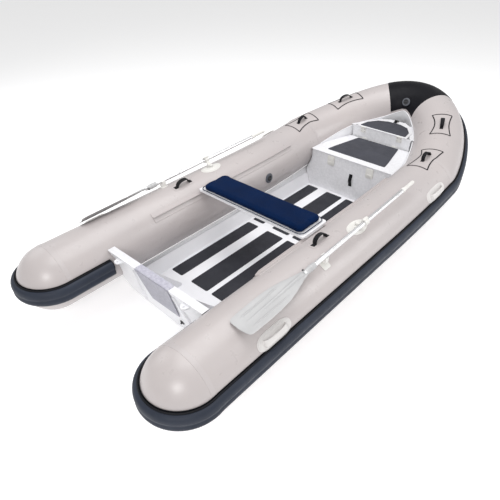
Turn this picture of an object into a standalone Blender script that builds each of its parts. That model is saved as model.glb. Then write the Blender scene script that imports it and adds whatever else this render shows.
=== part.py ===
"""Rigid-hulled inflatable dinghy: fabric tubes on a welded aluminium hull.

Lengths are in metres. The boat is laid out in its own terms (x to starboard, y forward from
the centre of the stern cones, z up from the tube axis) and every part is set down with SHIFT,
which puts the keel on z = 0 and the middle of the boat over the origin.
"""
import math

import bmesh
import bpy
from mathutils import Matrix, Vector

# ---- Tubes ----------------------------------------------------------------
TUBE_R = 0.21              # outer radius of the inflated tubes
FABRIC = 0.0015            # coated fabric with its overlapped seams
HALF_SPACING = 0.611       # centreline to tube axis
BOW_START = 2.55           # the tubes begin to turn in here
BOW_TIP = 3.495            # tube axis at the stem
BOW_HANDLE_AFT = 0.079     # plan curve control lengths
BOW_HANDLE_FORE = 0.404
SHEER_START = 1.50         # the tubes begin to rise here
SHEER_RISE = 0.254
SHEER_POWER = 2.6
AROUND = 24                # facets round a tube
GAP = 0.0003               # clearance between neighbours

# ---- Hull and transom -----------------------------------------------------
KEEL_Z = -0.3405
SHOE_Z = -0.350            # underside of the keel shoe, which is the boat's foot
SHOE_HALF = 0.060
PLATE = 0.003
DECK_Z = -0.272            # top of the cockpit sole
RAKE = 0.276               # the transom leans aft by this much for each metre up
TRANSOM_Y = 0.31           # aft face of the transom at z = 0.1
TRANSOM_T = 0.030
CAP_TOP = 0.118
KNEE_X = 0.202             # centreline to each knee

# ---- Lockers --------------------------------------------------------------
STEP_Y = 2.412             # aft face of the step locker's front panel
STEP_TOP = 0.081
RISER_Y = 2.885            # aft face of the bow locker's riser
BOW_TOP = 0.187
LID_T = 0.004

# ---- Seat -----------------------------------------------------------------
SEAT_Y = 1.244
SEAT_TOP = 0.190
SEAT_HALF_LENGTH = 0.469
SEAT_HALF_WIDTH = 0.127
TRACK_ANGLE = 135.0

# ---- Oars -----------------------------------------------------------------
OAR_LENGTH = 1.74
SHAFT_R = 0.0135
LOCK_Z = 0.262
OAR_SLOPE = math.radians(2.3)

MID_Y = (BOW_TIP + TUBE_R + 0.030 - TUBE_R - 0.034) / 2.0
SHIFT = Vector((0.0, -MID_Y, -SHOE_Z))

for old in list(bpy.data.objects):
    bpy.data.objects.remove(old, do_unlink=True)

BOAT = bpy.data.collections.new("inflatable_dinghy")
bpy.context.scene.collection.children.link(BOAT)

MATERIALS = {}


def material(name, colour, roughness, metallic=0.0):
    made = bpy.data.materials.new(name)
    made.use_nodes = True
    shader = made.node_tree.nodes["Principled BSDF"]
    shader.inputs["Base Color"].default_value = (*colour, 1.0)
    shader.inputs["Roughness"].default_value = roughness
    shader.inputs["Metallic"].default_value = metallic
    MATERIALS[name] = made


material("tube_fabric", (0.62, 0.58, 0.55), 0.35)
material("strake_rubber", (0.05, 0.06, 0.075), 0.5)
material("black_fabric", (0.012, 0.013, 0.02), 0.5)
material("grey_fabric", (0.55, 0.54, 0.52), 0.45)
material("white_hull", (0.80, 0.80, 0.82), 0.4)
material("grey_plastic", (0.32, 0.32, 0.36), 0.5)
material("light_plastic", (0.70, 0.69, 0.66), 0.4)
material("black_plastic", (0.02, 0.02, 0.022), 0.45)
material("tread_mat", (0.05, 0.052, 0.06), 0.8)
material("navy_cloth", (0.01, 0.025, 0.10), 0.7)
material("seat_paint", (0.78, 0.78, 0.80), 0.4)
material("webbing", (0.015, 0.015, 0.018), 0.8)
material("bare_aluminium", (0.80, 0.80, 0.81), 0.25, 1.0)
material("steel", (0.60, 0.60, 0.61), 0.3, 1.0)


# ---- Building blocks ------------------------------------------------------
def finish(mesh, look, crease=35.0):
    work = bmesh.new()
    work.from_mesh(mesh)
    bmesh.ops.remove_doubles(work, verts=work.verts, dist=0.000005)
    bmesh.ops.recalc_face_normals(work, faces=work.faces)
    for face in work.faces:
        face.smooth = True
    work.to_mesh(mesh)
    work.free()
    mesh.materials.clear()
    mesh.materials.append(MATERIALS[look])
    mesh.set_sharp_from_angle(angle=math.radians(crease))


def solid(name, points, faces, look, crease=35.0):
    """One closed body from points in the boat's own terms."""
    mesh = bpy.data.meshes.new(name)
    mesh.from_pydata([Vector(p) + SHIFT for p in points], [], faces)
    finish(mesh, look, crease)
    body = bpy.data.objects.new(name, mesh)
    BOAT.objects.link(body)
    return body


def loft(name, rings, look, crease=35.0, closed_loop=False):
    """A skin through rings of equal count, capped at both ends or joined into a loop."""
    count = len(rings[0])
    points = [p for ring in rings for p in ring]
    faces = []
    last = len(rings) if closed_loop else len(rings) - 1
    for i in range(last):
        a = i * count
        b = ((i + 1) % len(rings)) * count
        for j in range(count):
            k = (j + 1) % count
            faces.append((a + j, a + k, b + k, b + j))
    if not closed_loop:
        faces.append(tuple(range(count)))
        faces.append(tuple(len(points) - count + j for j in range(count)))
    return solid(name, points, faces, look, crease)


def combine(body, other, how, look, crease=35.0):
    """Boolean of two bodies; the second one is used up."""
    change = body.modifiers.new("combine", 'BOOLEAN')
    change.operation = how
    change.solver = 'EXACT'
    change.object = other
    graph = bpy.context.evaluated_depsgraph_get()
    graph.update()
    mesh = bpy.data.meshes.new_from_object(body.evaluated_get(graph))
    body.modifiers.clear()
    spent = body.data
    body.data = mesh
    bpy.data.meshes.remove(spent)
    bpy.data.objects.remove(other, do_unlink=True)
    finish(body.data, look, crease)
    return body


def across(axis):
    """Two unit vectors square to the given axis."""
    axis = Vector(axis).normalized()
    side = axis.cross(Vector((0, 0, 1)))
    if side.length < 0.3:
        side = axis.cross(Vector((0, 1, 0)))
    side.normalize()
    return side, axis.cross(side).normalized()


def turned(name, start, axis, profile, look, count=16, crease=35.0):
    """A body of revolution: profile is a list of (distance along the axis, radius)."""
    start = Vector(start)
    axis = Vector(axis).normalized()
    side, up = across(axis)
    rings = []
    for along, radius in profile:
        ring = []
        for i in range(count):
            turn = 2.0 * math.pi * i / count
            ring.append(start + axis * along + (side * math.cos(turn) + up * math.sin(turn)) * radius)
        rings.append(ring)
    return loft(name, rings, look, crease)


def box(name, low, high, look):
    rings = []
    for z in (low[2], high[2]):
        rings.append([(low[0], low[1], z), (high[0], low[1], z), (high[0], high[1], z), (low[0], high[1], z)])
    return loft(name, rings, look)


def rounded(half_x, half_y, radius, steps=3):
    """Outline of a rectangle with rounded corners."""
    points = []
    for cx, cy, start in ((1, 1, 0), (-1, 1, 90), (-1, -1, 180), (1, -1, 270)):
        for i in range(steps + 1):
            turn = math.radians(start + 90.0 * i / steps)
            x = cx * (half_x - radius) + radius * math.cos(turn)
            y = cy * (half_y - radius) + radius * math.sin(turn)
            points.append((x, y))
    return points


def slab(name, outline, low, high, look, edge=0.0, place=None, crease=35.0):
    """A flat outline given thickness from low to high, with its rims eased by edge."""
    place = place or Matrix.Identity(4)
    middle = Vector((sum(p[0] for p in outline), sum(p[1] for p in outline))) / len(outline)
    levels = [(low, 0.0), (high, 0.0)]
    if edge:
        levels = [(low, edge), (low + edge, 0.0), (high - edge, 0.0), (high, edge)]
    rings = []
    for z, inset in levels:
        ring = []
        for p in outline:
            flat = Vector(p) - middle
            flat = flat * max(0.0, 1.0 - inset / max(flat.length, 1e-6)) + middle
            ring.append(place @ Vector((flat.x, flat.y, z)))
        rings.append(ring)
    return loft(name, rings, look, crease)


def mirrored(points):
    return [(-p[0], p[1], p[2]) for p in points]


# ---- Tube surface ---------------------------------------------------------
def sheer(y):
    part = max(0.0, (y - SHEER_START) / (BOW_TIP - SHEER_START))
    return SHEER_RISE * part ** SHEER_POWER


def axis_point(u):
    """Starboard tube axis. u is y along the straight, then BOW_START to BOW_START + 1 round the bow."""
    if u <= BOW_START:
        return Vector((HALF_SPACING, u, sheer(u)))
    t = u - BOW_START
    s = 1.0 - t
    x = HALF_SPACING * (s ** 3 + 3 * s * s * t) + BOW_HANDLE_FORE * 3 * s * t * t
    y = BOW_START * s ** 3 + (BOW_START + BOW_HANDLE_AFT) * 3 * s * s * t + BOW_TIP * (3 * s * t * t + t ** 3)
    return Vector((x, y, sheer(y)))


def u_at(y):
    """Where the tube axis reaches a given y."""
    if y <= BOW_START:
        return y
    low, high = BOW_START, BOW_START + 1.0
    for _ in range(40):
        middle = (low + high) / 2
        if axis_point(middle).y < y:
            low = middle
        else:
            high = middle
    return low


def ring_frame(u):
    """Centre, outboard and upward unit vectors of the starboard tube at u."""
    centre = axis_point(u)
    ahead = axis_point(min(u + 0.002, BOW_START + 1.0)) - axis_point(u - 0.002)
    if u >= BOW_START + 1.0:
        ahead = Vector((-1, 0, 0))
    ahead.normalize()
    out = ahead.cross(Vector((0, 0, 1))).normalized()
    return centre, out, out.cross(ahead).normalized()


MAIN_STATIONS = [0.0, 0.6, 1.5, 1.8, 2.05, 2.3, BOW_START]
BOW_STATIONS = [BOW_START + i / 10.0 for i in range(11)]
STATIONS = MAIN_STATIONS + BOW_STATIONS[1:]


def at_station(u, angle, radius):
    centre, out, up = ring_frame(u)
    turn = math.radians(angle)
    return centre + (out * math.cos(turn) + up * math.sin(turn)) * radius


def on_tube(u, angle, lift):
    """Point on the faceted starboard tube, raised by lift."""
    for low, high in zip(STATIONS, STATIONS[1:]):
        if u <= high + 1e-9:
            part = (u - low) / (high - low)
            first = at_station(low, angle, TUBE_R + lift)
            return first.lerp(at_station(high, angle, TUBE_R + lift), part)
    return at_station(STATIONS[-1], angle, TUBE_R + lift)


def normal_at(u, angle):
    return (on_tube(u, angle, 0.1) - on_tube(u, angle, 0.0)).normalized()


def ahead_at(u):
    return (axis_point(min(u + 0.01, BOW_START + 1)) - axis_point(u - 0.01)).normalized()


def rows_between(start, end, steps):
    """Row positions from start to end, with the tube's own stations among them."""
    rows = {round(start + (end - start) * i / steps, 5) for i in range(steps + 1)}
    rows |= {round(u, 5) for u in STATIONS if start < u < end}
    kept = []
    for u in sorted(rows):
        if not kept or u - kept[-1] > 0.004:
            kept.append(u)
    return kept


def sheet(name, rows, low, high, thick, look, lift=0.0012, step=10.0, port=False):
    """A panel lying on the tube between angles low(u) and high(u)."""
    cols = max(1, math.ceil(max(high(u) - low(u) for u in rows) / step))
    rings = []
    for u in rows:
        under = []
        over = []
        for j in range(cols + 1):
            angle = low(u) + (high(u) - low(u)) * j / cols
            under.append(on_tube(u, angle, lift))
            over.append(on_tube(u, angle, lift + thick))
        ring = under + over[::-1]
        rings.append(mirrored(ring) if port else ring)
    return loft(name, rings, look)


def tube_ring(u, radius):
    return [at_station(u, 360.0 * i / AROUND, radius) for i in range(AROUND)]


def cone_ring(turn, radius):
    """A ring of the hemispherical stern end."""
    turn = math.radians(turn)
    ring = []
    for i in range(AROUND):
        side = 2.0 * math.pi * i / AROUND
        flat = radius * math.cos(turn)
        ring.append(Vector((HALF_SPACING + flat * math.cos(side), -radius * math.sin(turn), flat * math.sin(side))))
    return ring


VALVE_HOLE = 0.020
VALVE_FLANGE = 0.042
SIDE_VALVE_Y = 1.822
SIDE_VALVE_ANGLE = 176.5
BOW_VALVE_ANGLE = 157.0
BOW_SEAT = on_tube(BOW_START + 1.0, BOW_VALVE_ANGLE, 0.0)
BOW_OUT = normal_at(BOW_START + 1.0, BOW_VALVE_ANGLE)


def side_seat(port):
    """Where a side tube's valve sits, and the way it faces."""
    seat = on_tube(SIDE_VALVE_Y, SIDE_VALVE_ANGLE, 0.0)
    out = normal_at(SIDE_VALVE_Y, SIDE_VALVE_ANGLE)
    if port:
        return Vector((-seat.x, seat.y, seat.z)), Vector((-out.x, out.y, out.z))
    return seat, out


def shell(name, outer, inner, hole, look):
    """A hollow body: outer skin with end walls, less the space inside it and the valve hole into it."""
    body = loft(name, outer, look, 50.0)
    space = loft(name + "_space", inner, look, 50.0)
    centre, axis = hole
    bore = turned("hole", centre - axis * 0.03, axis, [(0.0, VALVE_HOLE), (0.06, VALVE_HOLE)], look, 16)
    space = combine(space, bore, 'UNION', look, 50.0)
    return combine(body, space, 'DIFFERENCE', look, 50.0)


def main_tube(name, port):
    inside = TUBE_R - FABRIC
    turns = (80, 60, 40, 20)
    outer = [cone_ring(t, TUBE_R) for t in turns]
    inner = [cone_ring(t, inside) for t in turns]
    for u in MAIN_STATIONS:
        end = u == MAIN_STATIONS[-1]
        outer.append(tube_ring(u - GAP if end else u, TUBE_R))
        inner.append(tube_ring(u - FABRIC * 2 if end else u, inside))
    if port:
        outer = [mirrored(r) for r in outer]
        inner = [mirrored(r) for r in inner]
    return shell(name, outer, inner, side_seat(port), "tube_fabric")


def bow_tube(name):
    inside = TUBE_R - FABRIC
    outer = []
    inner = []
    for u in BOW_STATIONS:
        start = u == BOW_STATIONS[0]
        outer.append(tube_ring(u, TUBE_R))
        inner.append([p + Vector((0, FABRIC * 2, 0)) for p in tube_ring(u, inside)] if start else tube_ring(u, inside))
    outer += [mirrored(r) for r in outer[-2::-1]]
    inner += [mirrored(r) for r in inner[-2::-1]]
    return shell(name, outer, inner, (BOW_SEAT, BOW_OUT), "tube_fabric")


# ---- Valves ---------------------------------------------------------------
def cut_hole(body, centre, axis, radius, look, depth=0.05):
    cutter = turned("hole", Vector(centre) - Vector(axis) * depth, axis, [(0.0, radius), (2 * depth, radius)], look, 16)
    return combine(body, cutter, 'DIFFERENCE', look, 50.0)


def valve(name, centre, axis, flange=VALVE_FLANGE):
    """Flanged screw valve seated in the tube wall, and the cap that closes it."""
    stem = VALVE_HOLE - 0.0006
    body = turned(name, centre, axis, [(-0.034, stem), (0.0003, stem), (0.0003, flange), (0.003, flange),
                                       (0.007, 0.034), (0.007, 0.024), (0.002, 0.024)], "grey_plastic", 20)
    cap = turned(name + "_cap", centre, axis, [(0.0025, 0.0232), (0.010, 0.0232), (0.0115, 0.020)], "black_plastic", 20)
    middle = Vector(centre) + Vector(axis) * 0.009
    side, up = across(axis)
    grip = []
    for along in (0.0095, 0.0165):
        grip.append([Vector(centre) + Vector(axis) * along + side * a + up * b
                     for a, b in ((-0.018, -0.003), (0.018, -0.003), (0.018, 0.003), (-0.018, 0.003))])
    bar = loft(name + "_grip", grip, "black_plastic")
    cap = combine(cap, bar, 'UNION', "black_plastic")
    set_origin(cap, middle)
    return body, cap


def set_origin(body, point):
    """Move a body's origin to a point in the boat's own terms without moving its shape."""
    target = Vector(point) + SHIFT
    body.data.transform(Matrix.Translation(-target))
    body.location = target


# ---- Tubes, strakes and bow patch -----------------------------------------
for side, port in (("starboard", False), ("port", True)):
    main_tube("tube_" + side, port)
    seat, out = side_seat(port)
    valve("valve_" + side, seat + out * 0.0008, out)
bow_tube("tube_bow")
valve("valve_bow", BOW_SEAT + BOW_OUT * 0.0125, BOW_OUT, 0.036)

PATCH_U = BOW_START + 0.8
patch_rings = []
for u in (PATCH_U, BOW_START + 0.9, BOW_START + 1.0):
    angles = [17.0 + (173.0 - 17.0) * j / 17 for j in range(18)]
    ring = [on_tube(u, a, 0.0012) for a in angles] + [on_tube(u, a, 0.0030) for a in reversed(angles)]
    patch_rings.append(ring)
patch_rings += [mirrored(r) for r in patch_rings[-2::-1]]
bow_patch = loft("bow_patch", patch_rings, "black_fabric")
cut_hole(bow_patch, BOW_SEAT, BOW_OUT, VALVE_HOLE, "black_fabric", 0.03)

# The rubbing strake: a D section with a ridge, from inside one stern cone to the stem.
STRAKE_BACK = (15.0, 0.0, -15.0)
STRAKE_FACE = ((-14.0, 0.007), (-11.0, 0.020), (-5.5, 0.029), (-1.0, 0.024), (4.0, 0.030), (10.0, 0.026), (14.0, 0.009))


def strake_ring(centre, out, up, lift):
    ring = []
    for angle in STRAKE_BACK:
        turn = math.radians(angle)
        ring.append(centre + (out * math.cos(turn) + up * math.sin(turn)) * (TUBE_R + lift))
    for angle, proud in STRAKE_FACE:
        turn = math.radians(angle)
        ring.append(centre + (out * math.cos(turn) + up * math.sin(turn)) * (TUBE_R + lift + proud))
    return ring


def strake(name, port):
    rings = []
    up = Vector((0, 0, 1))
    for y in (0.29, 0.15):
        rings.append(strake_ring(Vector((HALF_SPACING, y, 0)), Vector((-1, 0, 0)), up, 0.003))
    for i in range(13):
        turn = math.radians(180.0 - 15.0 * i)
        out = Vector((math.cos(turn), -math.sin(turn), 0))
        rings.append(strake_ring(Vector((HALF_SPACING, 0, 0)), out, up, 0.0042))
    for u in STATIONS[1:]:
        centre, out, rise = ring_frame(u)
        ring = strake_ring(centre, out, rise, 0.0006 if u <= SHEER_START else 0.0022)
        if u == STATIONS[-1]:
            ring = [p + Vector((GAP, 0, 0)) for p in ring]
        rings.append(ring)
    if port:
        rings = [mirrored(r) for r in rings]
    return loft(name, rings, "strake_rubber")


strake("strake_port", True)
strake("strake_starboard", False)


# ---- Hull -----------------------------------------------------------------
def rake_y(z):
    """Aft face of the transom at height z."""
    return TRANSOM_Y + (0.1 - z) * RAKE


RIM_ANGLE = -130.5
RIM_CURVE = [at_station(BOW_START + i / 200.0, RIM_ANGLE, TUBE_R + 0.005) for i in range(201)]


def rim(y):
    """Where the hull side meets the underside of the tube."""
    if y <= RIM_CURVE[0].y:
        return at_station(y, RIM_ANGLE, TUBE_R + 0.005)
    for a, b in zip(RIM_CURVE, RIM_CURVE[1:]):
        if b.y >= y:
            return a.lerp(b, (y - a.y) / max(b.y - a.y, 1e-9))
    return RIM_CURVE[-1]


# y, chine half width as a share of the rim's, chine height, keel height
HULL_SECTIONS = (
    (0.45, 0.893, -0.281, KEEL_Z),
    (1.50, 0.893, -0.281, KEEL_Z),
    (1.80, 0.893, -0.281, KEEL_Z),
    (2.05, 0.893, -0.281, KEEL_Z),
    (2.30, 0.890, -0.281, KEEL_Z),
    (2.45, 0.885, -0.280, -0.336),
    (2.65, 0.850, -0.225, -0.306),
    (2.85, 0.800, -0.165, -0.245),
    (3.05, 0.720, -0.100, -0.165),
    (3.20, 0.620, -0.035, -0.085),
    (3.30, 0.520, 0.022, -0.005),
    (3.345, 0.450, 0.072, 0.055),
)


def hull_ring(section, inset=0.0, lid=0.0):
    y, share, chine, keel = section
    edge = rim(y)
    points = [(edge.x - inset, edge.z + lid), (edge.x * share - inset * 0.9, chine + inset * 0.6),
              (0.06, keel + 0.0085 + inset), (0.0, keel + inset)]
    if y > 2.4:
        points[2] = (points[1][0] * 0.3, (points[1][1] - keel) * 0.3 + keel + inset * 0.7)
    full = points + [(-x, z) for x, z in points[-2::-1]]
    return [(x, y, z) for x, z in full]


outer = [hull_ring(s) for s in HULL_SECTIONS]
outer[0] = [(x, rake_y(z) + TRANSOM_T + GAP, z) for x, y, z in outer[0]]
inner = [hull_ring(s, PLATE, 0.02) for s in HULL_SECTIONS[:-1]]
inner[0] = [(x, 0.2, z) for x, y, z in inner[0]]
hull = loft("hull_bottom", outer, "white_hull", 20.0)
hollow = loft("hull_space", inner, "white_hull")
combine(hull, hollow, 'DIFFERENCE', "white_hull", 20.0)

shoe_section = [(-SHOE_HALF, SHOE_Z), (SHOE_HALF, SHOE_Z), (SHOE_HALF, KEEL_Z + 0.0075), (0.0, KEEL_Z - GAP),
                (-SHOE_HALF, KEEL_Z + 0.0075)]
loft("keel_shoe", [[(x, y, z) for x, z in shoe_section] for y in (0.47, 2.29)], "bare_aluminium")

deck_side = [(0.443, -0.176), (0.405, DECK_Z)]
deck_line = [(-x, z) for x, z in deck_side] + deck_side[::-1]
deck_under = [(0.4458, -0.1770), (0.4065, DECK_Z - PLATE)]
deck_section = deck_line + deck_under + [(-x, z) for x, z in deck_under[::-1]]
deck_rings = [[(x, rake_y(z) + TRANSOM_T + 0.001, z) for x, z in deck_section],
              [(x, STEP_Y - 0.001, z) for x, z in deck_section]]
loft("deck_plate", deck_rings, "white_hull", 20.0)


# ---- Transom --------------------------------------------------------------
def hug(angle, gap=0.0016):
    """A point beside the straight part of the starboard tube, in x and z."""
    reach = TUBE_R / math.cos(math.radians(6)) + gap
    return HALF_SPACING + reach * math.cos(math.radians(angle)), reach * math.sin(math.radians(angle))


def raked(outline, start, depth):
    """An outline in x and z swept along the raked transom from start to start + depth aft to fore."""
    return [[(x, rake_y(z) + start, z) for x, z in outline], [(x, rake_y(z) + start + depth, z) for x, z in outline]]


half = [(0.0, 0.086), hug(156.5)] + [hug(a) for a in (168, 180, 192, 204, 216, 228)]
half += [(0.421, -0.278), (0.06, KEEL_Z + 0.008), (0.0, KEEL_Z)]
transom_outline = half + [(-x, z) for x, z in half[-2:0:-1]]
transom = loft("transom_plate", raked(transom_outline, 0.0, TRANSOM_T), "white_hull")
PLUG_X = 0.105
PLUG_Z = -0.235
plug_axis = Vector((0, -1, -RAKE)).normalized()
plug_seat = Vector((PLUG_X, rake_y(PLUG_Z), PLUG_Z))
cut_hole(transom, plug_seat, plug_axis, 0.0125, "white_hull", 0.06)
plug = turned("drain_plug", plug_seat, plug_axis, [(-0.026, 0.0118), (0.0004, 0.0118), (0.0004, 0.018), (0.004, 0.018),
                                                   (0.005, 0.007), (0.014, 0.006)], "black_plastic", 16)
set_origin(plug, plug_seat)

cap_half = [(0.0, 0.0865), (0.4125, 0.0865), (0.4305, CAP_TOP), (0.0, CAP_TOP)]
cap_outline = cap_half[:3] + [(-x, z) for x, z in cap_half[2:0:-1]]
cap = loft("transom_cap", raked(cap_outline, -0.004, 0.052), "white_hull")

pad_outline = [(-0.152, 0.117), (0.152, 0.117), (0.128, -0.150), (-0.128, -0.150)]
loft("motor_pad", raked(pad_outline, -0.0105, 0.006), "grey_plastic")
plate_outline = rounded(0.152, 0.0255, 0.004, 1)
slab("motor_pad_top", plate_outline, CAP_TOP + GAP, CAP_TOP + 0.003, "grey_plastic", 0.0,
     Matrix.Translation((0, rake_y(CAP_TOP) + 0.0205, 0)))

# A welded rib runs down the aft face on each side of the motor pad, a knee braces the fore face against the sole, and a
# towing eye stands off the cap.
for side, sign in (("port", -1), ("starboard", 1)):
    knee = []
    for x in (sign * KNEE_X, sign * (KNEE_X + 0.005)):
        knee.append([(x, rake_y(0.070) + TRANSOM_T - 0.002, 0.070), (x, rake_y(0.070) + TRANSOM_T + 0.020, 0.070),
                     (x, rake_y(DECK_Z) + TRANSOM_T + 0.217, DECK_Z + 0.016),
                     (x, rake_y(DECK_Z) + TRANSOM_T + 0.217, DECK_Z + GAP),
                     (x, rake_y(DECK_Z) + TRANSOM_T - 0.002, DECK_Z + GAP)])
    combine(transom, loft("knee", knee, "white_hull"), 'UNION', "white_hull")
    rib = [(sign * 0.176, 0.080), (sign * 0.192, 0.080), (sign * 0.262, -0.255), (sign * 0.246, -0.258)]
    combine(transom, loft("rib", raked(rib, -0.0145, 0.0165), "white_hull"), 'UNION', "white_hull")
    tab = [(-0.030, 0.0), (-0.022, -0.030), (-0.010, -0.042), (0.010, -0.042), (0.022, -0.030), (0.030, 0.0)]
    place = Matrix.Translation((sign * 0.303, rake_y(0.10) - 0.0030, 0.0))
    eye = slab("towing_eye", tab, 0.0955, 0.1035, "white_hull", 0.0, place)
    cap = combine(cap, eye, 'UNION', "white_hull")
    cut_hole(cap, (sign * 0.303, rake_y(0.10) - 0.0275, 0.0995), (0, 0, 1), 0.0075, "white_hull", 0.02)


# ---- Bow lockers ----------------------------------------------------------
def inside_x(y, z, gap):
    """Half width of the clear space between the tubes at y and z, with the tube's skin kept back by gap."""
    best = 9.0
    for i in range(0, 41):
        u = BOW_START * (0.6 + 0.4 * i / 40.0)
        for probe in (u, BOW_START + i / 40.0):
            centre, out, up = ring_frame(probe)
            if abs(centre.y - y) > TUBE_R + 0.12:
                continue
            rise = (z - centre.z) / (TUBE_R + gap)
            if abs(rise) >= 1:
                continue
            back = centre - out * (TUBE_R + gap) * math.sqrt(1 - rise * rise)
            if abs(back.y - y) < 0.02:
                best = min(best, back.x)
    return best


# The coaming's top edge, as reach along the boat and angle round the tube
COAMING_TOP = ((2.40, 177.0), (2.55, 174.0), (2.70, 170.5), (2.85, 167.0), (2.97, 166.5), (3.07, 168.5), (3.20, 174.5),
               (3.32, 179.0))


def along(table, value):
    """The second column of a table, read at a value of the first."""
    for (a, low), (b, high) in zip(table, table[1:]):
        if value <= b:
            return low + (high - low) * max(0.0, (value - a) / (b - a))
    return table[-1][1]


coaming_rings = []
COAMING_ROWS = [2.418, BOW_START] + BOW_STATIONS[1:]
for u in COAMING_ROWS:
    top = along(COAMING_TOP, axis_point(u).y)
    angles = [226.0 + (top - 226.0) * j / 6 for j in range(7)]
    lift = 0.0035
    ring = [on_tube(u, a, lift) for a in angles] + [on_tube(u, a, lift + 0.003) for a in reversed(angles)]
    coaming_rings.append(ring)
coaming_rings += [mirrored(r) for r in coaming_rings[-2::-1]]
loft("bow_coaming", coaming_rings, "white_hull", 30.0)

front_half = []
for z in (-0.2715, -0.235, -0.20):
    front_half.append((0.400 + (z + 0.2715) * 0.48, z))
for z in (-0.150, -0.10, -0.05, 0.0, 0.045, STEP_TOP - LID_T - 0.0006):
    front_half.append((min(0.447, inside_x(STEP_Y, z, 0.010) - 0.002), z))
front_outline = front_half + [(-x, z) for x, z in front_half[::-1]]
loft("step_front", [[(x, y, z) for x, z in front_outline] for y in (STEP_Y, STEP_Y + PLATE)], "white_hull", 20.0)

riser_half = [(inside_x(RISER_Y + PLATE, z, 0.011) - 0.002, z) for z in (0.000, 0.035, 0.075, 0.110, 0.150)]
riser_half.append((riser_half[-1][0] + 0.010, BOW_TOP - LID_T - 0.0006))
riser_outline = riser_half + [(-x, z) for x, z in riser_half[::-1]]
loft("bow_riser", [[(x, y, z) for x, z in riser_outline] for y in (RISER_Y, RISER_Y + PLATE)], "white_hull", 20.0)


def lid_outline(aft, fore, height, gap, steps):
    """A lid's plan: its sides follow the tubes."""
    right = []
    for i in range(steps + 1):
        y = aft + (fore - aft) * i / steps
        right.append((inside_x(y, height, gap), y))
    return right + [(-x, y) for x, y in right[::-1]]


step_plan = lid_outline(STEP_Y - 0.010, RISER_Y - 0.016, STEP_TOP, 0.016, 5)
step_lid = slab("step_lid", step_plan, STEP_TOP - LID_T, STEP_TOP, "white_hull")
step_pad_plan = [(-0.280, 2.476), (0.280, 2.476), (0.262, 2.58), (0.200, 2.858), (-0.200, 2.858), (-0.262, 2.58)]
step_pad = slab("step_lid_pad", step_pad_plan, STEP_TOP + GAP, STEP_TOP + 0.004, "tread_mat")
bow_plan = [(-0.245, RISER_Y - 0.004), (0.245, RISER_Y - 0.004), (0.225, 3.02), (0.165, 3.12), (0.080, 3.19),
            (-0.080, 3.19), (-0.165, 3.12), (-0.225, 3.02)]
bow_lid = slab("bow_lid", bow_plan, BOW_TOP - LID_T, BOW_TOP, "white_hull")
bow_pad_plan = [(-0.222, 2.900), (0.222, 2.900), (0.206, 3.00), (0.146, 3.086), (0.062, 3.122),
                (-0.062, 3.122), (-0.146, 3.086), (-0.206, 3.00)]
bow_pad = slab("bow_lid_pad", bow_pad_plan, BOW_TOP + GAP, BOW_TOP + 0.004, "tread_mat")
pull_path = [(3.128, 0.0003), (3.145, 0.0003), (3.152, 0.012), (3.162, 0.014), (3.170, 0.008), (3.172, 0.0003), (3.182, 0.0003)]

STEP_HINGE = Vector((0, RISER_Y - 0.010, STEP_TOP + 0.006))
BOW_HINGE = Vector((0, RISER_Y - 0.0045, BOW_TOP - LID_T))
for body in (step_lid, step_pad):
    set_origin(body, STEP_HINGE)
for body in (bow_lid, bow_pad):
    set_origin(body, BOW_HINGE)


def strip(name, path, width, thick, look, place):
    """A strap: path gives (along, height); the strap is thick above it and width across."""
    rings = []
    last = len(path) - 1
    for i, (s, h) in enumerate(path):
        a = Vector(path[max(0, i - 1)])
        b = Vector(path[min(last, i + 1)])
        along = (b - a).normalized()
        rise = Vector((-along.y, along.x)) * thick
        low = (s, h)
        top = (s + rise.x, h + rise.y)
        rings.append([place(low[0], -width / 2, low[1]), place(low[0], width / 2, low[1]),
                      place(top[0], width / 2, top[1]), place(top[0], -width / 2, top[1])])
    return loft(name, rings, look, 30.0)


pull = strip("bow_lid_pull", pull_path, 0.030, 0.003, "webbing", lambda s, w, h: (w, s, BOW_TOP + h))
set_origin(pull, BOW_HINGE)

for side, sign in (("port", -1), ("starboard", 1)):
    # Hinge leaf screwed to the riser under the lid's aft edge, with its knuckle above.
    x = sign * 0.178
    leaf = box("bow_hinge_" + side, (x - 0.026, RISER_Y - 0.0028, BOW_TOP - 0.056),
               (x + 0.026, RISER_Y - GAP, BOW_TOP - LID_T - 0.002), "steel")
    latch_x = sign * 0.190
    latch = slab("latch_" + side, rounded(0.034, 0.044, 0.010, 2), 0.0, 0.013, "light_plastic", 0.003,
                 Matrix.Translation((latch_x, STEP_Y - GAP * 2, 0.022)) @ Matrix.Rotation(math.radians(90), 4, 'X'))
    set_origin(latch, (latch_x, STEP_Y - 0.0065, -0.020))

strap_path = [(-0.056, 0.0006), (-0.042, 0.0006), (-0.026, 0.008), (0.0, 0.011), (0.026, 0.008), (0.042, 0.0006), (0.056, 0.0006)]
strip("front_strap", strap_path, 0.032, 0.003, "webbing",
      lambda s, w, h: (0.018 + w, STEP_Y - h, -0.100 + s))


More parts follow.
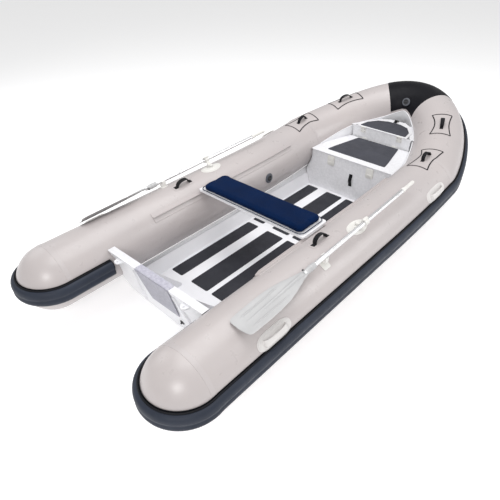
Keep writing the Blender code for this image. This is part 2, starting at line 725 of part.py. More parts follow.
# ---- Handles --------------------------------------------------------------
def strap_handle(name, y, angle, half_length, half_width, look_patch, look_strap, loop, width, thick, port, waist=0.72):
    """A glued patch with a loop standing on it."""
    centre_u = u_at(y)
    start = u_at(y - half_length)
    end = u_at(y + half_length)
    spread = math.degrees(half_width / TUBE_R)

    def half_angle(u):
        where = min(1.0, abs(axis_point(u).y - y) / half_length)
        return spread * (waist + (1.0 - waist) * where ** 2)

    body = sheet(name, rows_between(start, end, 4), lambda u: angle - half_angle(u), lambda u: angle + half_angle(u),
                 0.0022, look_patch, port=port)
    side = ahead_at(centre_u).cross(normal_at(centre_u, angle)).normalized()

    def place(s, w, h):
        here = u_at(y + s)
        point = on_tube(here, angle, 0.0021 + h) + side * w
        return (-point.x, point.y, point.z) if port else tuple(point)

    bar = strip(name + "_loop", loop, width, thick, look_strap, place)
    return combine(body, bar, 'UNION', look_patch, 30.0)


WEBBING_LOOP = [(-0.070, 0.0), (-0.048, 0.0), (-0.040, 0.018), (-0.022, 0.036), (0.0, 0.041), (0.022, 0.036),
                (0.040, 0.018), (0.048, 0.0), (0.070, 0.0)]
LIFT_LOOP = [(-0.080, 0.0), (-0.052, 0.0), (-0.044, 0.020), (-0.030, 0.026), (0.030, 0.026), (0.044, 0.020),
             (0.052, 0.0), (0.080, 0.0)]
for side, port in (("port", True), ("starboard", False)):
    middle_y = 1.065 if port else 1.140
    strap_handle("handle_mid_" + side, middle_y, 99.0, 0.085, 0.030, "webbing", "webbing", WEBBING_LOOP, 0.026, 0.003,
                 port, 1.0)
    strap_handle("handle_bow_aft_" + side, 2.525, 96.0, 0.155, 0.092, "tube_fabric", "webbing", WEBBING_LOOP, 0.026,
                 0.003, port)
    strap_handle("handle_bow_fore_" + side, 3.045, 92.0, 0.142, 0.090, "tube_fabric", "webbing", WEBBING_LOOP, 0.026,
                 0.003, port)
    strap_handle("lift_handle_aft_" + side, 0.455, 28.0, 0.130, 0.036, "grey_fabric", "grey_fabric", LIFT_LOOP, 0.030,
                 0.009, port, 1.0)
    strap_handle("lift_handle_fore_" + side, 2.290, 28.0, 0.130, 0.036, "grey_fabric", "grey_fabric", LIFT_LOOP, 0.030,
                 0.009, port, 1.0)

# ---- Seat and its tracks --------------------------------------------------
for side, port in (("port", True), ("starboard", False)):
    rings = []
    for u in (0.69, 1.5, 1.8, 2.05, 2.18):
        out = normal_at(u, TRACK_ANGLE)
        across_tube = Vector((-out.z, 0, out.x))
        base = [on_tube(u, a, 0.0012) for a in (126.0, 135.0, 144.0)]
        root = on_tube(u, TRACK_ANGLE, 0.0)
        ring = base + [on_tube(u, 144.0, 0.0035)]
        for w, h in ((0.0025, 0.004), (0.0025, 0.012), (0.0045, 0.014), (0.0045, 0.018), (-0.0045, 0.018), (-0.0045, 0.014),
                     (-0.0025, 0.012), (-0.0025, 0.004)):
            ring.append(root + across_tube * w + out * h)
        ring.append(on_tube(u, 126.0, 0.0035))
        rings.append(mirrored(ring) if port else ring)
    loft("seat_track_" + side, rings, "tube_fabric")

board = slab("seat_board", rounded(SEAT_HALF_LENGTH, SEAT_HALF_WIDTH, 0.012, 2), SEAT_TOP - 0.016, SEAT_TOP, "seat_paint",
             0.002, Matrix.Translation((0, SEAT_Y, 0)))
track_out = normal_at(1.0, TRACK_ANGLE)
track_side = Vector((-track_out.z, 0, track_out.x))
track_root = on_tube(1.0, TRACK_ANGLE, 0.0)
for sign in (1, -1):
    # A shoe under each end closes round the bead of the track.
    shoe = []
    for y in (SEAT_Y - 0.090, SEAT_Y + 0.090):
        ring = []
        for w, h in ((-0.012, 0.0085), (-0.0050, 0.0085), (-0.0050, 0.0105), (-0.0080, 0.0105), (-0.0080, 0.0220), (0.0080, 0.0220),
                     (0.0080, 0.0105), (0.0050, 0.0105), (0.0050, 0.0085), (0.012, 0.0085), (0.018, 0.030), (-0.012, 0.034)):
            point = track_root + track_side * w + track_out * h
            ring.append((sign * point.x, y, point.z))
        shoe.append(ring)
    piece = loft("seat_shoe", shoe, "seat_paint")
    board = combine(board, piece, 'UNION', "seat_paint")

cushion_plan = rounded(0.452, 0.122, 0.040, 3)
cushion_levels = ((0.0008, 0.012), (0.010, 0.0), (0.032, 0.0), (0.041, 0.014))
cushion_rings = []
for height, inset in cushion_levels:
    ring = []
    for x, y in cushion_plan:
        ring.append((x * (1 - inset / 0.452), SEAT_Y + y * (1 - inset / 0.122), SEAT_TOP + height))
    cushion_rings.append(ring)
loft("seat_cushion", cushion_rings, "navy_cloth", 60.0)


# ---- Oars and oarlocks ----------------------------------------------------
def oar_frame(lock, yaw):
    """Matrix whose +Y runs from the lock towards the grip."""
    return (Matrix.Translation(lock) @ Matrix.Rotation(yaw, 4, 'Z') @ Matrix.Rotation(OAR_SLOPE, 4, 'X'))


def oar(side, lock_x, lock_y, yaw, inner, feather):
    place = oar_frame((lock_x, lock_y, LOCK_Z), yaw)
    ahead = (place.to_3x3() @ Vector((0, 1, 0))).normalized()
    zero = place @ Vector((0, 0, 0))
    tip = inner - OAR_LENGTH
    neck = tip + 0.56
    shaft = turned("oar_shaft_" + side, zero, ahead, [(neck - 0.05, SHAFT_R), (inner - 0.11, SHAFT_R)], "bare_aluminium", 12)
    grip = turned("oar_grip_" + side, zero, ahead, [(inner - 0.11 + GAP, 0.0165), (inner - 0.105, 0.0175), (inner - 0.008, 0.0175),
                                                    (inner, 0.013)], "light_plastic", 12)
    # Blade: a socket round the shaft that flattens into a ribbed, slightly dished spoon.
    tilt = Matrix.Rotation(feather, 4, 'Y')
    rings = []
    for along, half_w, half_t in ((neck + 0.045, 0.018, 0.018), (neck, 0.018, 0.018), (neck - 0.06, 0.022, 0.013),
                                  (neck - 0.16, 0.052, 0.0075), (neck - 0.27, 0.074, 0.0055), (neck - 0.42, 0.078, 0.0045),
                                  (tip + 0.035, 0.074, 0.0040), (tip, 0.058, 0.0035)):
        ring = []
        for i in range(12):
            turn = 2 * math.pi * i / 12
            flat = Vector((half_w * math.cos(turn), along, half_t * math.sin(turn)))
            ring.append(place @ tilt @ flat)
        rings.append(ring)
    blade = loft("oar_blade_" + side, rings, "grey_plastic", 40.0)
    socket = turned("socket", zero, ahead, [(neck - 0.0505, SHAFT_R + 0.0004), (neck + 0.10, SHAFT_R + 0.0004)], "grey_plastic", 12)
    combine(blade, socket, 'DIFFERENCE', "grey_plastic", 40.0)

    # Swivel: a collar clamped on the shaft, an arm, and a pin that turns in the base.
    pivot_x = lock_x - 0.052 if side == "starboard" else lock_x + 0.052
    top = 0.2235
    collar = turned("oarlock_" + side, zero, ahead, [(-0.016, 0.0205), (-0.012, 0.0225), (0.012, 0.0225), (0.016, 0.0205)],
                    "light_plastic", 16)
    arm = []
    reach = lock_x - pivot_x
    for along, low, high, wide in ((-0.014 / abs(reach), top + 0.0006, top + 0.014, 0.013), (0.10, top + 0.0006, top + 0.016, 0.016),
                                   (0.50, top + 0.004, LOCK_Z - 0.004, 0.014), (1.0, LOCK_Z - 0.019, LOCK_Z + 0.004, 0.010)):
        x = pivot_x + reach * along
        arm.append([(x, lock_y - wide, low), (x, lock_y + wide, low), (x, lock_y + wide, high), (x, lock_y - wide, high)])
    collar = combine(collar, loft("arm", arm, "light_plastic"), 'UNION', "light_plastic")
    pin = turned("pin", (pivot_x, lock_y, top - 0.0065), (0, 0, 1), [(0.0, 0.0060), (0.012, 0.0060)], "light_plastic", 24)
    collar = combine(collar, pin, 'UNION', "light_plastic")
    bore = turned("bore", zero, ahead, [(-0.03, SHAFT_R + 0.0002), (0.03, SHAFT_R + 0.0002)], "light_plastic", 12)
    collar = combine(collar, bore, 'DIFFERENCE', "light_plastic")
    for body in (shaft, grip, blade, collar):
        set_origin(body, (pivot_x, lock_y, LOCK_Z))

    # Base: an oval pad moulded to the tube with a boss for the pin.
    port = side == "port"
    pad_angle = math.degrees(math.acos((abs(pivot_x) - HALF_SPACING) / TUBE_R))

    def half_angle(u):
        where = (u - lock_y) / 0.092
        return 13.0 * math.sqrt(max(0.04, 1.0 - where * where))

    rows = [lock_y + 0.090 * k for k in (-1, -0.75, -0.4, 0, 0.4, 0.75, 1)]
    rows = [u for u in rows if abs(u - 1.5) > 0.012] + [1.5]
    rows = sorted(set(rows))
    base = sheet("oarlock_base_" + side, rows, lambda u: pad_angle - half_angle(u), lambda u: pad_angle + half_angle(u),
                 0.0035, "light_plastic", port=port)
    boss = turned("boss", (pivot_x, lock_y, 0.2112), (0, 0, 1), [(0.0, 0.017), (0.0055, 0.017), (top - 0.2112, 0.013)],
                  "light_plastic", 24)
    base = combine(base, boss, 'UNION', "light_plastic", 30.0)
    seat = turned("seat", (pivot_x, lock_y, top - 0.0085), (0, 0, 1), [(0.0, 0.00615), (0.02, 0.00615)], "light_plastic", 24)
    combine(base, seat, 'DIFFERENCE', "light_plastic", 30.0)

    # Rest: a block under the shaft near the blade, with a horn inboard and open outboard.
    rest = place @ Vector((0, -0.42, 0))
    sign = -1 if port else 1
    reach = abs(rest.x)
    foot_angle = math.degrees(math.acos((reach - HALF_SPACING) / TUBE_R))
    pad = sheet("oar_rest_" + side, [rest.y - 0.026, rest.y + 0.026], lambda u: foot_angle - 8.0, lambda u: foot_angle + 8.0,
                0.003, "light_plastic", port=port)
    feet = [math.sqrt(TUBE_R ** 2 - (reach - HALF_SPACING + dx) ** 2) + 0.0026 for dx in (-0.020, 0.012)]
    under = rest.z - SHAFT_R - 0.0012
    block_outline = [(-0.020, feet[0]), (0.012, feet[1]), (0.010, under), (-0.0165, under), (-0.0165, rest.z + 0.006),
                     (-0.0225, rest.z + 0.006)]
    block_rings = [[(sign * (reach + dx), y, z) for dx, z in block_outline] for y in (rest.y - 0.016, rest.y + 0.016)]
    block = loft("block", block_rings, "light_plastic")
    combine(pad, block, 'UNION', "light_plastic", 30.0)


oar("starboard", 0.715, 1.415, 0.0, 0.61, 0.0)
oar("port", -0.665, 1.380, math.radians(-1.8), 0.66, math.radians(-40))
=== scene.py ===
"""Looks of the rigid-hulled inflatable dinghy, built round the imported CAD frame.

Shapes are laid out in the boat's own terms, in metres: x to starboard, y forward from the
centres of the stern cones, z up from the tube axis. SHIFT carries them into the frame.
"""

from math import acos, ceil, copysign, cos, degrees, exp, pi, radians, sin, sqrt, tan

import bmesh
import bpy
from mathutils import Matrix, Vector, noise


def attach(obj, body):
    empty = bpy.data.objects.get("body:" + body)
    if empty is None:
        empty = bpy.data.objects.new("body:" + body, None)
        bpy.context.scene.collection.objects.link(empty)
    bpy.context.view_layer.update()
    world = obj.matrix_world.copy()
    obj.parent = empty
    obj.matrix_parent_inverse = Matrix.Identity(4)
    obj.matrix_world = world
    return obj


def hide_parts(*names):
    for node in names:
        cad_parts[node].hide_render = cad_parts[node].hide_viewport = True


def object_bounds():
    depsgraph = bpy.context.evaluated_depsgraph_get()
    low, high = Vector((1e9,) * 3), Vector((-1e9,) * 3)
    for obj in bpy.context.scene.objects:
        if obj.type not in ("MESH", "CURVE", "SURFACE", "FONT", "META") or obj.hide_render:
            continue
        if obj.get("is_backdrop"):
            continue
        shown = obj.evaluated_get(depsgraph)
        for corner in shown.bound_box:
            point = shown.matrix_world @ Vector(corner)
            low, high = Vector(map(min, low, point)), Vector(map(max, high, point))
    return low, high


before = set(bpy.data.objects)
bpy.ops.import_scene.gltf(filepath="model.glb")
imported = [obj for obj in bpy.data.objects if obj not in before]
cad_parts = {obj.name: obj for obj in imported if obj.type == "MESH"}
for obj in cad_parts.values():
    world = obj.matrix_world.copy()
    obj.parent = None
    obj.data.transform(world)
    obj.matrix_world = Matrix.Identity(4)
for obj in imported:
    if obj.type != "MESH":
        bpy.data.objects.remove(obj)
CAD_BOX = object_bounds()

# ---- Dimensions shared with the CAD ---------------------------------------
TUBE_R = 0.21
HALF_SPACING = 0.611
BOW_START = 2.55
BOW_TIP = 3.495
BOW_HANDLE_AFT = 0.079
BOW_HANDLE_FORE = 0.404
SHEER_START = 1.50
SHEER_RISE = 0.254
SHEER_POWER = 2.6
KEEL_Z = -0.3405
SHOE_Z = -0.350
PLATE = 0.003
DECK_Z = -0.272
RAKE = 0.276
TRANSOM_Y = 0.31
TRANSOM_T = 0.030
CAP_TOP = 0.118
STEP_Y = 2.412
STEP_TOP = 0.081
RISER_Y = 2.885
BOW_TOP = 0.187
SEAT_Y = 1.244
SEAT_TOP = 0.190
TRACK_ANGLE = 135.0
OAR_LENGTH = 1.74
BLADE_LENGTH = 0.56
SHAFT_R = 0.0135
LOCK_Z = 0.262
OAR_SLOPE = radians(2.3)
MID_Y = 1.7455
SHIFT = Vector((0.0, -MID_Y, -SHOE_Z))
SIDES = (("starboard", 1), ("port", -1))


# ---- Camera ---------------------------------------------------------------
def place_camera():
    yaw, pitch, roll = radians(42.9615), radians(-36.5752), radians(-1.262)
    ahead = Vector((-sin(yaw) * cos(pitch), cos(yaw) * cos(pitch), sin(pitch)))
    right = Vector((cos(yaw), sin(yaw), 0.0))
    up = right.cross(ahead)
    across = right * cos(roll) + up * sin(roll)
    above = up * cos(roll) - right * sin(roll)
    data = bpy.data.cameras.new("camera")
    data.sensor_width = 36.0
    data.lens = 33.944
    camera = bpy.data.objects.new("camera", data)
    bpy.context.scene.collection.objects.link(camera)
    place = Matrix((across, above, -ahead)).transposed().to_4x4()
    place.translation = Vector((1.837, -2.5755, 2.2048))
    camera.matrix_world = place
    bpy.context.scene.camera = camera


place_camera()


# ---- Materials ------------------------------------------------------------
class Paint:
    """A material in the making. Each method adds one node and returns what it puts out."""

    def __init__(self, name):
        self.made = bpy.data.materials.new(name)
        self.made.use_nodes = True
        self.tree = self.made.node_tree
        self.shader = self.tree.nodes["Principled BSDF"]
        self.here = self.add("TexCoord", {}, "Object")
        self.flat = self.add("TexCoord", {}, "UV")

    def put(self, socket, value):
        """Links a socket to another node, or sets its value; a colour is given without its alpha."""
        if isinstance(value, bpy.types.NodeSocket):
            self.tree.links.new(value, socket)
        elif isinstance(value, tuple) and len(socket.default_value) == 4:
            socket.default_value = (*value, 1.0)
        else:
            socket.default_value = value

    def add(self, kind, inputs, out=0, **settings):
        made = self.tree.nodes.new("ShaderNode" + kind)
        for key, value in settings.items():
            setattr(made, key, value)
        for key, value in inputs.items():
            self.put(made.inputs[key], value)
        return made.outputs[out]

    def scaled(self, scale):
        return self.add("Mapping", {"Vector": self.here, "Scale": scale})

    def noise(self, scale, detail=3.0, rough=0.55, stretch=None):
        coords = self.scaled(stretch) if stretch else self.here
        return self.add("TexNoise", {"Vector": coords, "Scale": scale, "Detail": detail,
                "Roughness": rough}, "Fac")

    def wave(self, coords, scale, direction="X", profile="SIN", distortion=0.0):
        inputs = {"Vector": coords, "Scale": scale, "Distortion": distortion, "Detail": 1.0}
        return self.add("TexWave", inputs, "Fac", bands_direction=direction, wave_profile=profile)

    def maths(self, how, a, b):
        return self.add("Math", {0: a, 1: b}, operation=how)

    def ranged(self, value, low, high, start=0.3, end=0.7):
        limits = {"From Min": start, "From Max": end, "To Min": low, "To Max": high}
        return self.add("MapRange", {"Value": value, **limits})

    def ramp(self, value, low, high, start=0.3, end=0.7):
        made = self.tree.nodes.new("ShaderNodeValToRGB")
        for element, position, colour in zip(made.color_ramp.elements, (start, end), (low, high)):
            element.position = position
            element.color = (*colour, 1.0)
        self.put(made.inputs["Fac"], value)
        return made.outputs["Color"]

    def mix(self, how, share, a, b):
        return self.add("Mix", {0: share, 6: a, 7: b}, 2, data_type="RGBA", blend_type=how)


def weave(paint):
    """Plain weave on the surface's own coordinates."""
    warp, weft = (paint.wave(paint.flat, 260.0, way, distortion=0.4) for way in "XY")
    return paint.maths("ADD", paint.maths("MULTIPLY", paint.maths("ADD", warp, weft), 0.35),
            paint.noise(700.0))


def cloth(paint):
    """Canvas weave with slubs."""
    warp, weft = (paint.wave(paint.here, 200.0, way, distortion=1.2) for way in "XY")
    slub = paint.noise(90.0, 4.0, 0.6, (1.0, 0.2, 1.0))
    return paint.maths("ADD", paint.maths("MULTIPLY", warp, weft), slub)


def webbing(paint):
    """Close ribs across the strap, with herringbone between them."""
    ribs = paint.wave(paint.flat, 300.0, "X", "TRI", 0.5)
    edges = paint.wave(paint.flat, 120.0, "DIAGONAL", "TRI", 0.5)
    return paint.maths("ADD", ribs, paint.maths("MULTIPLY", edges, 0.6))


def tread(paint):
    """Small raised lozenges with grit between them."""
    one = paint.wave(paint.here, 75.0, "DIAGONAL")
    two = paint.wave(paint.scaled((1.0, -1.0, 1.0)), 75.0, "DIAGONAL")
    grit = paint.noise(1400.0, 2.0)
    return paint.maths("ADD", paint.maths("MULTIPLY", one, two), paint.maths("MULTIPLY", grit, 0.8))


def brushed(paint):
    """Fine scratches along the boat."""
    return paint.noise(60.0, 5.0, 0.7, (14.0, 0.6, 14.0))


def powder(paint):
    """Orange peel of a powder coat over faint rolling marks."""
    roll = paint.noise(40.0, 3.0, 0.5, (1.0, 0.15, 1.0))
    return paint.maths("ADD", paint.noise(420.0, 2.0, 0.4), paint.maths("MULTIPLY", roll, 0.5))


def moulded(paint):
    """Spark-eroded grain of moulded plastic or rubber."""
    grain = paint.add("TexVoronoi", {"Scale": 650.0, "Vector": paint.here}, "Distance", feature="SMOOTH_F1")
    return paint.maths("ADD", grain, paint.noise(260.0, 3.0))


def finish_of(name, colour, rough, pattern, depth, tone, tone_scale, tint=(1.0, 1.0, 1.0), soil=0.0,
        wear=None, metallic=0.0, sheen=0.0, coat=0.0, level=0.5, spread=0.08):
    """A finish with drifting tone, a fine pattern, uneven gloss, soil and worn edges."""
    paint = Paint(name)
    low = tuple(c * (1.0 - tone) for c in colour)
    high = tuple(min(1.0, c * (1.0 + tone) * t) for c, t in zip(colour, tint))
    shade = paint.ramp(paint.noise(tone_scale, 4.0, 0.6), low, high)
    relief = pattern(paint)
    fine = paint.ramp(relief, (1.0 - tone,) * 3, (1.0, 1.0, 1.0), 0.35, 0.95)
    shade = paint.mix("MULTIPLY", 0.6, shade, fine)
    if soil:
        dirty = paint.ranged(paint.noise(9.0, 6.0, 0.7), 0.0, soil, 0.55, 0.8)
        shade = paint.mix("MIX", dirty, shade, tuple(c * 0.7 for c in colour))
    if wear:
        edge = paint.add("NewGeometry", {}, "Pointiness")
        rub = paint.ranged(edge, 0.0, 0.55, 0.515, 0.60)
        broken = paint.maths("MULTIPLY", rub, paint.ranged(paint.noise(55.0, 4.0), 0.2, 1.0))
        shade = paint.mix("MIX", broken, shade, wear)
    gloss = paint.ranged(paint.noise(14.0, 5.0, 0.65), rough - spread, rough + spread)
    bump = paint.add("Bump", {"Height": relief, "Distance": depth, "Strength": 1.0}, "Normal")
    for socket, value in (("Base Color", shade), ("Roughness", gloss), ("Normal", bump),
            ("Metallic", metallic), ("Specular IOR Level", level), ("Sheen Weight", sheen),
            ("Coat Weight", coat), ("Coat Roughness", 0.25)):
        paint.put(paint.shader.inputs[socket], value)
    return paint.made


# Each row: colour, roughness, pattern, depth of relief in metres, drift of tone, its scale, and the rest.
FINISHES = {
    "tube_fabric": ((0.490, 0.452, 0.450), 0.33, weave, 0.00010, 0.035, 1.6,
        dict(tint=(1.0, 0.99, 0.98), soil=0.05, coat=0.22, level=0.5)),
    "seam_fabric": ((0.500, 0.462, 0.460), 0.36, weave, 0.00012, 0.04, 6.0, dict(soil=0.15, coat=0.08)),
    "strake_rubber": ((0.026, 0.032, 0.048), 0.50, moulded, 0.00012, 0.14, 5.0,
        dict(soil=0.25, wear=(0.05, 0.055, 0.07), level=0.22)),
    "piping": ((0.004, 0.0045, 0.007), 0.50, moulded, 0.00010, 0.2, 8.0, dict(level=0.2)),
    "black_fabric": ((0.0028, 0.0028, 0.0055), 0.46, weave, 0.00014, 0.22, 4.0,
        dict(soil=0.25, level=0.16)),
    "grey_fabric": ((0.66, 0.64, 0.63), 0.38, moulded, 0.00008, 0.05, 12.0, dict(soil=0.15, coat=0.1)),
    "white_hull": ((0.86, 0.86, 0.885), 0.38, powder, 0.00010, 0.035, 2.5,
        dict(soil=0.08, wear=(0.62, 0.62, 0.64))),
    "sole_paint": ((0.90, 0.90, 0.93), 0.48, powder, 0.00018, 0.035, 3.0, dict(soil=0.10)),
    "grey_plastic": ((0.28, 0.275, 0.325), 0.50, moulded, 0.00012, 0.06, 9.0,
        dict(soil=0.1, wear=(0.50, 0.50, 0.56))),
    "pad_top": ((0.34, 0.33, 0.41), 0.45, moulded, 0.00012, 0.06, 9.0,
        dict(soil=0.1, wear=(0.7, 0.7, 0.76))),
    "oar_plastic": ((0.46, 0.46, 0.465), 0.38, moulded, 0.00008, 0.05, 8.0,
        dict(soil=0.14, wear=(0.78, 0.78, 0.78))),
    "light_plastic": ((0.72, 0.71, 0.68), 0.36, moulded, 0.00008, 0.05, 11.0,
        dict(soil=0.12, wear=(0.82, 0.81, 0.79))),
    "valve_plastic": ((0.085, 0.092, 0.11), 0.42, moulded, 0.00010, 0.14, 14.0,
        dict(soil=0.2, wear=(0.2, 0.21, 0.23))),
    "black_plastic": ((0.017, 0.018, 0.021), 0.40, moulded, 0.00010, 0.2, 14.0,
        dict(wear=(0.07, 0.07, 0.075))),
    "tread_mat": ((0.030, 0.031, 0.040), 0.72, tread, 0.00035, 0.16, 5.0, dict(soil=0.25, level=0.35)),
    "lid_mat": ((0.050, 0.052, 0.066), 0.68, tread, 0.00035, 0.12, 5.0, dict(soil=0.2, level=0.35)),
    "navy_cloth": ((0.0008, 0.0115, 0.052), 0.85, cloth, 0.00040, 0.16, 7.0, dict(sheen=0.02, level=0.06)),
    "navy_edge": ((0.0020, 0.008, 0.036), 0.80, cloth, 0.00025, 0.16, 9.0, dict(sheen=0.02, level=0.08)),
    "webbing": ((0.006, 0.006, 0.008), 0.72, webbing, 0.00035, 0.25, 12.0, dict(sheen=0.05, level=0.2)),
    "bare_aluminium": ((0.80, 0.80, 0.81), 0.30, brushed, 0.000008, 0.04, 4.0,
        dict(metallic=0.9, spread=0.04)),
    "steel": ((0.62, 0.62, 0.63), 0.30, brushed, 0.00005, 0.06, 9.0, dict(soil=0.1, metallic=1.0)),
}
LOOKS = {name: finish_of(name, *row[:-1], **row[-1]) for name, row in FINISHES.items()}


# ---- Mesh building --------------------------------------------------------
def wearing(piece, look, crease=40.0):
    """Gives a mesh its finish, faces that point outwards and smooth shading."""
    work = bmesh.new()
    work.from_mesh(piece.data)
    bmesh.ops.recalc_face_normals(work, faces=work.faces)
    for face in work.faces:
        face.smooth = True
    work.to_mesh(piece.data)
    work.free()
    piece.data.materials.clear()
    piece.data.materials.append(LOOKS[look])
    piece.data.set_sharp_from_angle(angle=radians(crease))
    return piece


def made_of(name, points, faces, look, corners=None, crease=40.0):
    mesh = bpy.data.meshes.new(name)
    mesh.from_pydata([Vector(p) + SHIFT for p in points], [], faces)
    if corners:
        layer = mesh.uv_layers.new(name="surface")
        flat = [value for face in corners for pair in face for value in pair]
        layer.data.foreach_set("uv", flat)
    piece = bpy.data.objects.new(name, mesh)
    bpy.context.scene.collection.objects.link(piece)
    return wearing(piece, look, crease)


def skin(name, rings, look, crease=40.0, closed_loop=False):
    """A closed skin through rings of equal count, with its coordinates in metres along and around."""
    count = len(rings[0])
    rings = [[Vector(p) for p in ring] for ring in rings]
    points = [p for ring in rings for p in ring]
    along = [0.0]
    for a, b in zip(rings, rings[1:] + rings[:1]):
        along.append(along[-1] + max((a[0] - b[0]).length, (a[count // 2] - b[count // 2]).length))
    widest = rings[len(rings) // 2]
    around = [0.0]
    for a, b in zip(widest, widest[1:] + widest[:1]):
        around.append(around[-1] + (a - b).length)
    faces = []
    corners = []
    last = len(rings) if closed_loop else len(rings) - 1
    for i in range(last):
        a = i * count
        b = ((i + 1) % len(rings)) * count
        for j in range(count):
            k = (j + 1) % count
            faces.append((a + j, a + k, b + k, b + j))
            corners.append(((along[i], around[j]), (along[i], around[j + 1]), (along[i + 1], around[j + 1]),
                    (along[i + 1], around[j])))
    if not closed_loop:
        faces.append(tuple(range(count)))
        faces.append(tuple(len(points) - count + j for j in range(count)))
        corners += [tuple((0.0, around[j]) for j in range(count))] * 2
    return made_of(name, points, faces, look, corners, crease)


def turns(count):
    """Angles evenly round a circle."""
    return [2.0 * pi * i / count for i in range(count)]


def squared(turn, power):
    """A point of a unit circle drawn out towards a square."""
    c, n = cos(turn), sin(turn)
    return copysign(abs(c) ** power, c), copysign(abs(n) ** power, n)


def across(axis):
    """Two directions at right angles to an axis and to each other."""
    axis = Vector(axis).normalized()
    side = axis.cross(Vector((0, 0, 1)))
    if side.length < 0.3:
        side = axis.cross(Vector((0, 1, 0)))
    side.normalize()
    return side, axis.cross(side).normalized()


def turned(name, start, axis, profile, look, count=40, crease=35.0):
    """A body of revolution: profile is a list of (distance along the axis, radius)."""
    start = Vector(start)
    axis = Vector(axis).normalized()
    side, up = across(axis)
    rings = []
    for along, radius in profile:
        rings.append([start + axis * along + (side * cos(t) + up * sin(t)) * radius for t in turns(count)])
    return skin(name, rings, look, crease)


def rounded(half_x, half_y, radius, steps=6):
    points = []
    for cx, cy, start in ((1, 1, 0), (-1, 1, 90), (-1, -1, 180), (1, -1, 270)):
        for i in range(steps + 1):
            turn = radians(start + 90.0 * i / steps)
            x = cx * (half_x - radius) + radius * cos(turn)
            y = cy * (half_y - radius) + radius * sin(turn)
            points.append((x, y))
    return points


def filleted(outline, radius, steps=5):
    """A polygon with its corners rounded."""
    points = []
    count = len(outline)
    for i in range(count):
        before, here, after = (Vector(outline[(i + k) % count]) for k in (-1, 0, 1))
        a = (before - here).normalized()
        b = (after - here).normalized()
        half = a.angle(b) / 2
        reach = min(radius / tan(half), (before - here).length * 0.45, (after - here).length * 0.45)
        start, end = here + a * reach, here + b * reach
        for k in range(steps + 1):
            t = k / steps
            points.append(tuple(start * (1 - t) ** 2 + here * 2 * t * (1 - t) + end * t * t))
    return points


def slab(name, outline, low, high, look, edge=0.001, place=None, crease=50.0, steps=3):
    """A flat outline given thickness, with rounded rims."""
    place = place or Matrix.Identity(4)
    middle = Vector((sum(p[0] for p in outline), sum(p[1] for p in outline))) / len(outline)
    quarter = [pi / 2 * k / steps for k in range(steps + 1)]
    levels = [(low + edge * (1 - cos(t)), edge * (1 - sin(t))) for t in quarter]
    levels += [(high - edge * (1 - cos(t)), edge * (1 - sin(t))) for t in quarter[::-1]]
    rings = []
    for z, inset in levels:
        ring = []
        for p in outline:
            flat = Vector(p) - middle
            flat = flat * max(0.0, 1.0 - inset / max(flat.length, 1e-6)) + middle
            ring.append(place @ Vector((flat.x, flat.y, z)))
        rings.append(ring)
    return skin(name, rings, look, crease)


def joined(name, pieces):
    """Several closed shapes kept as one piece."""
    work = bmesh.new()
    look = pieces[0].data.materials[0]
    for piece in pieces:
        work.from_mesh(piece.data)
    mesh = pieces[0].data.copy()
    work.to_mesh(mesh)
    work.free()
    for piece in pieces:
        bpy.data.objects.remove(piece, do_unlink=True)
    whole = bpy.data.objects.new(name, mesh)
    bpy.context.scene.collection.objects.link(whole)
    mesh.materials.clear()
    mesh.materials.append(look)
    return whole


def soften(piece, width, segments=2, angle=32.0):
    """Rolls the sharp edges of a piece."""
    roll = piece.modifiers.new("edges", "BEVEL")
    roll.width = width
    roll.segments = segments
    roll.limit_method = "ANGLE"
    roll.angle_limit = radians(angle)
    roll.harden_normals = False
    return piece


def belongs(piece, slot, *nodes, body="boat"):
    """Says which body a piece rides on and the CAD nodes that it stands for, which it hides; slot is not
    used.
    """
    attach(piece, body)
    if nodes:
        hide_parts(*nodes)
    return piece


def mirrored(points):
    return [Vector((-p[0], p[1], p[2])) for p in points]


def sided(rings, sign):
    return rings if sign > 0 else [mirrored(ring) for ring in rings]


# ---- Tube surface ---------------------------------------------------------
def sheer(y):
    part = max(0.0, (y - SHEER_START) / (BOW_TIP - SHEER_START))
    return SHEER_RISE * part ** SHEER_POWER


def axis_point(u):
    """Starboard tube axis. u is y along the straight, then BOW_START to BOW_START + 1 round the bow."""
    if u <= BOW_START:
        return Vector((HALF_SPACING, u, sheer(u)))
    t = u - BOW_START
    s = 1.0 - t
    x = HALF_SPACING * (s ** 3 + 3 * s * s * t) + BOW_HANDLE_FORE * 3 * s * t * t
    y = BOW_START * s ** 3 + (BOW_START + BOW_HANDLE_AFT) * 3 * s * s * t + BOW_TIP * (3 * s * t * t
            + t ** 3)
    return Vector((x, y, sheer(y)))


def u_at(y):
    if y <= BOW_START:
        return y
    low, high = BOW_START, BOW_START + 1.0
    for _ in range(40):
        middle = (low + high) / 2
        if axis_point(middle).y < y:
            low = middle
        else:
            high = middle
    return low


def ring_frame(u):
    centre = axis_point(u)
    if u >= BOW_START + 1.0 - 1e-6:
        ahead = Vector((-1, 0, 0))
    else:
        ahead = axis_point(min(u + 0.004, BOW_START + 1.0)) - axis_point(u - 0.004)
    ahead.normalize()
    out = ahead.cross(Vector((0, 0, 1))).normalized()
    return centre, out, out.cross(ahead).normalized()


def on_tube(u, angle, lift=0.0):
    centre, out, up = ring_frame(u)
    turn = radians(angle)
    return centre + (out * cos(turn) + up * sin(turn)) * (TUBE_R + lift)


def normal_at(u, angle):
    _, out, up = ring_frame(u)
    turn = radians(angle)
    return out * cos(turn) + up * sin(turn)


def spread(start, end, steps):
    return [start + (end - start) * i / steps for i in range(steps + 1)]


# ---- Tubes ----------------------------------------------------------------
AROUND = 144
STRAIGHT = spread(0.0, SHEER_START, 44) + spread(SHEER_START, BOW_START, 32)[1:]
BOW = spread(BOW_START, BOW_START + 1.0, 44)
CONE_SEAM = 0.010


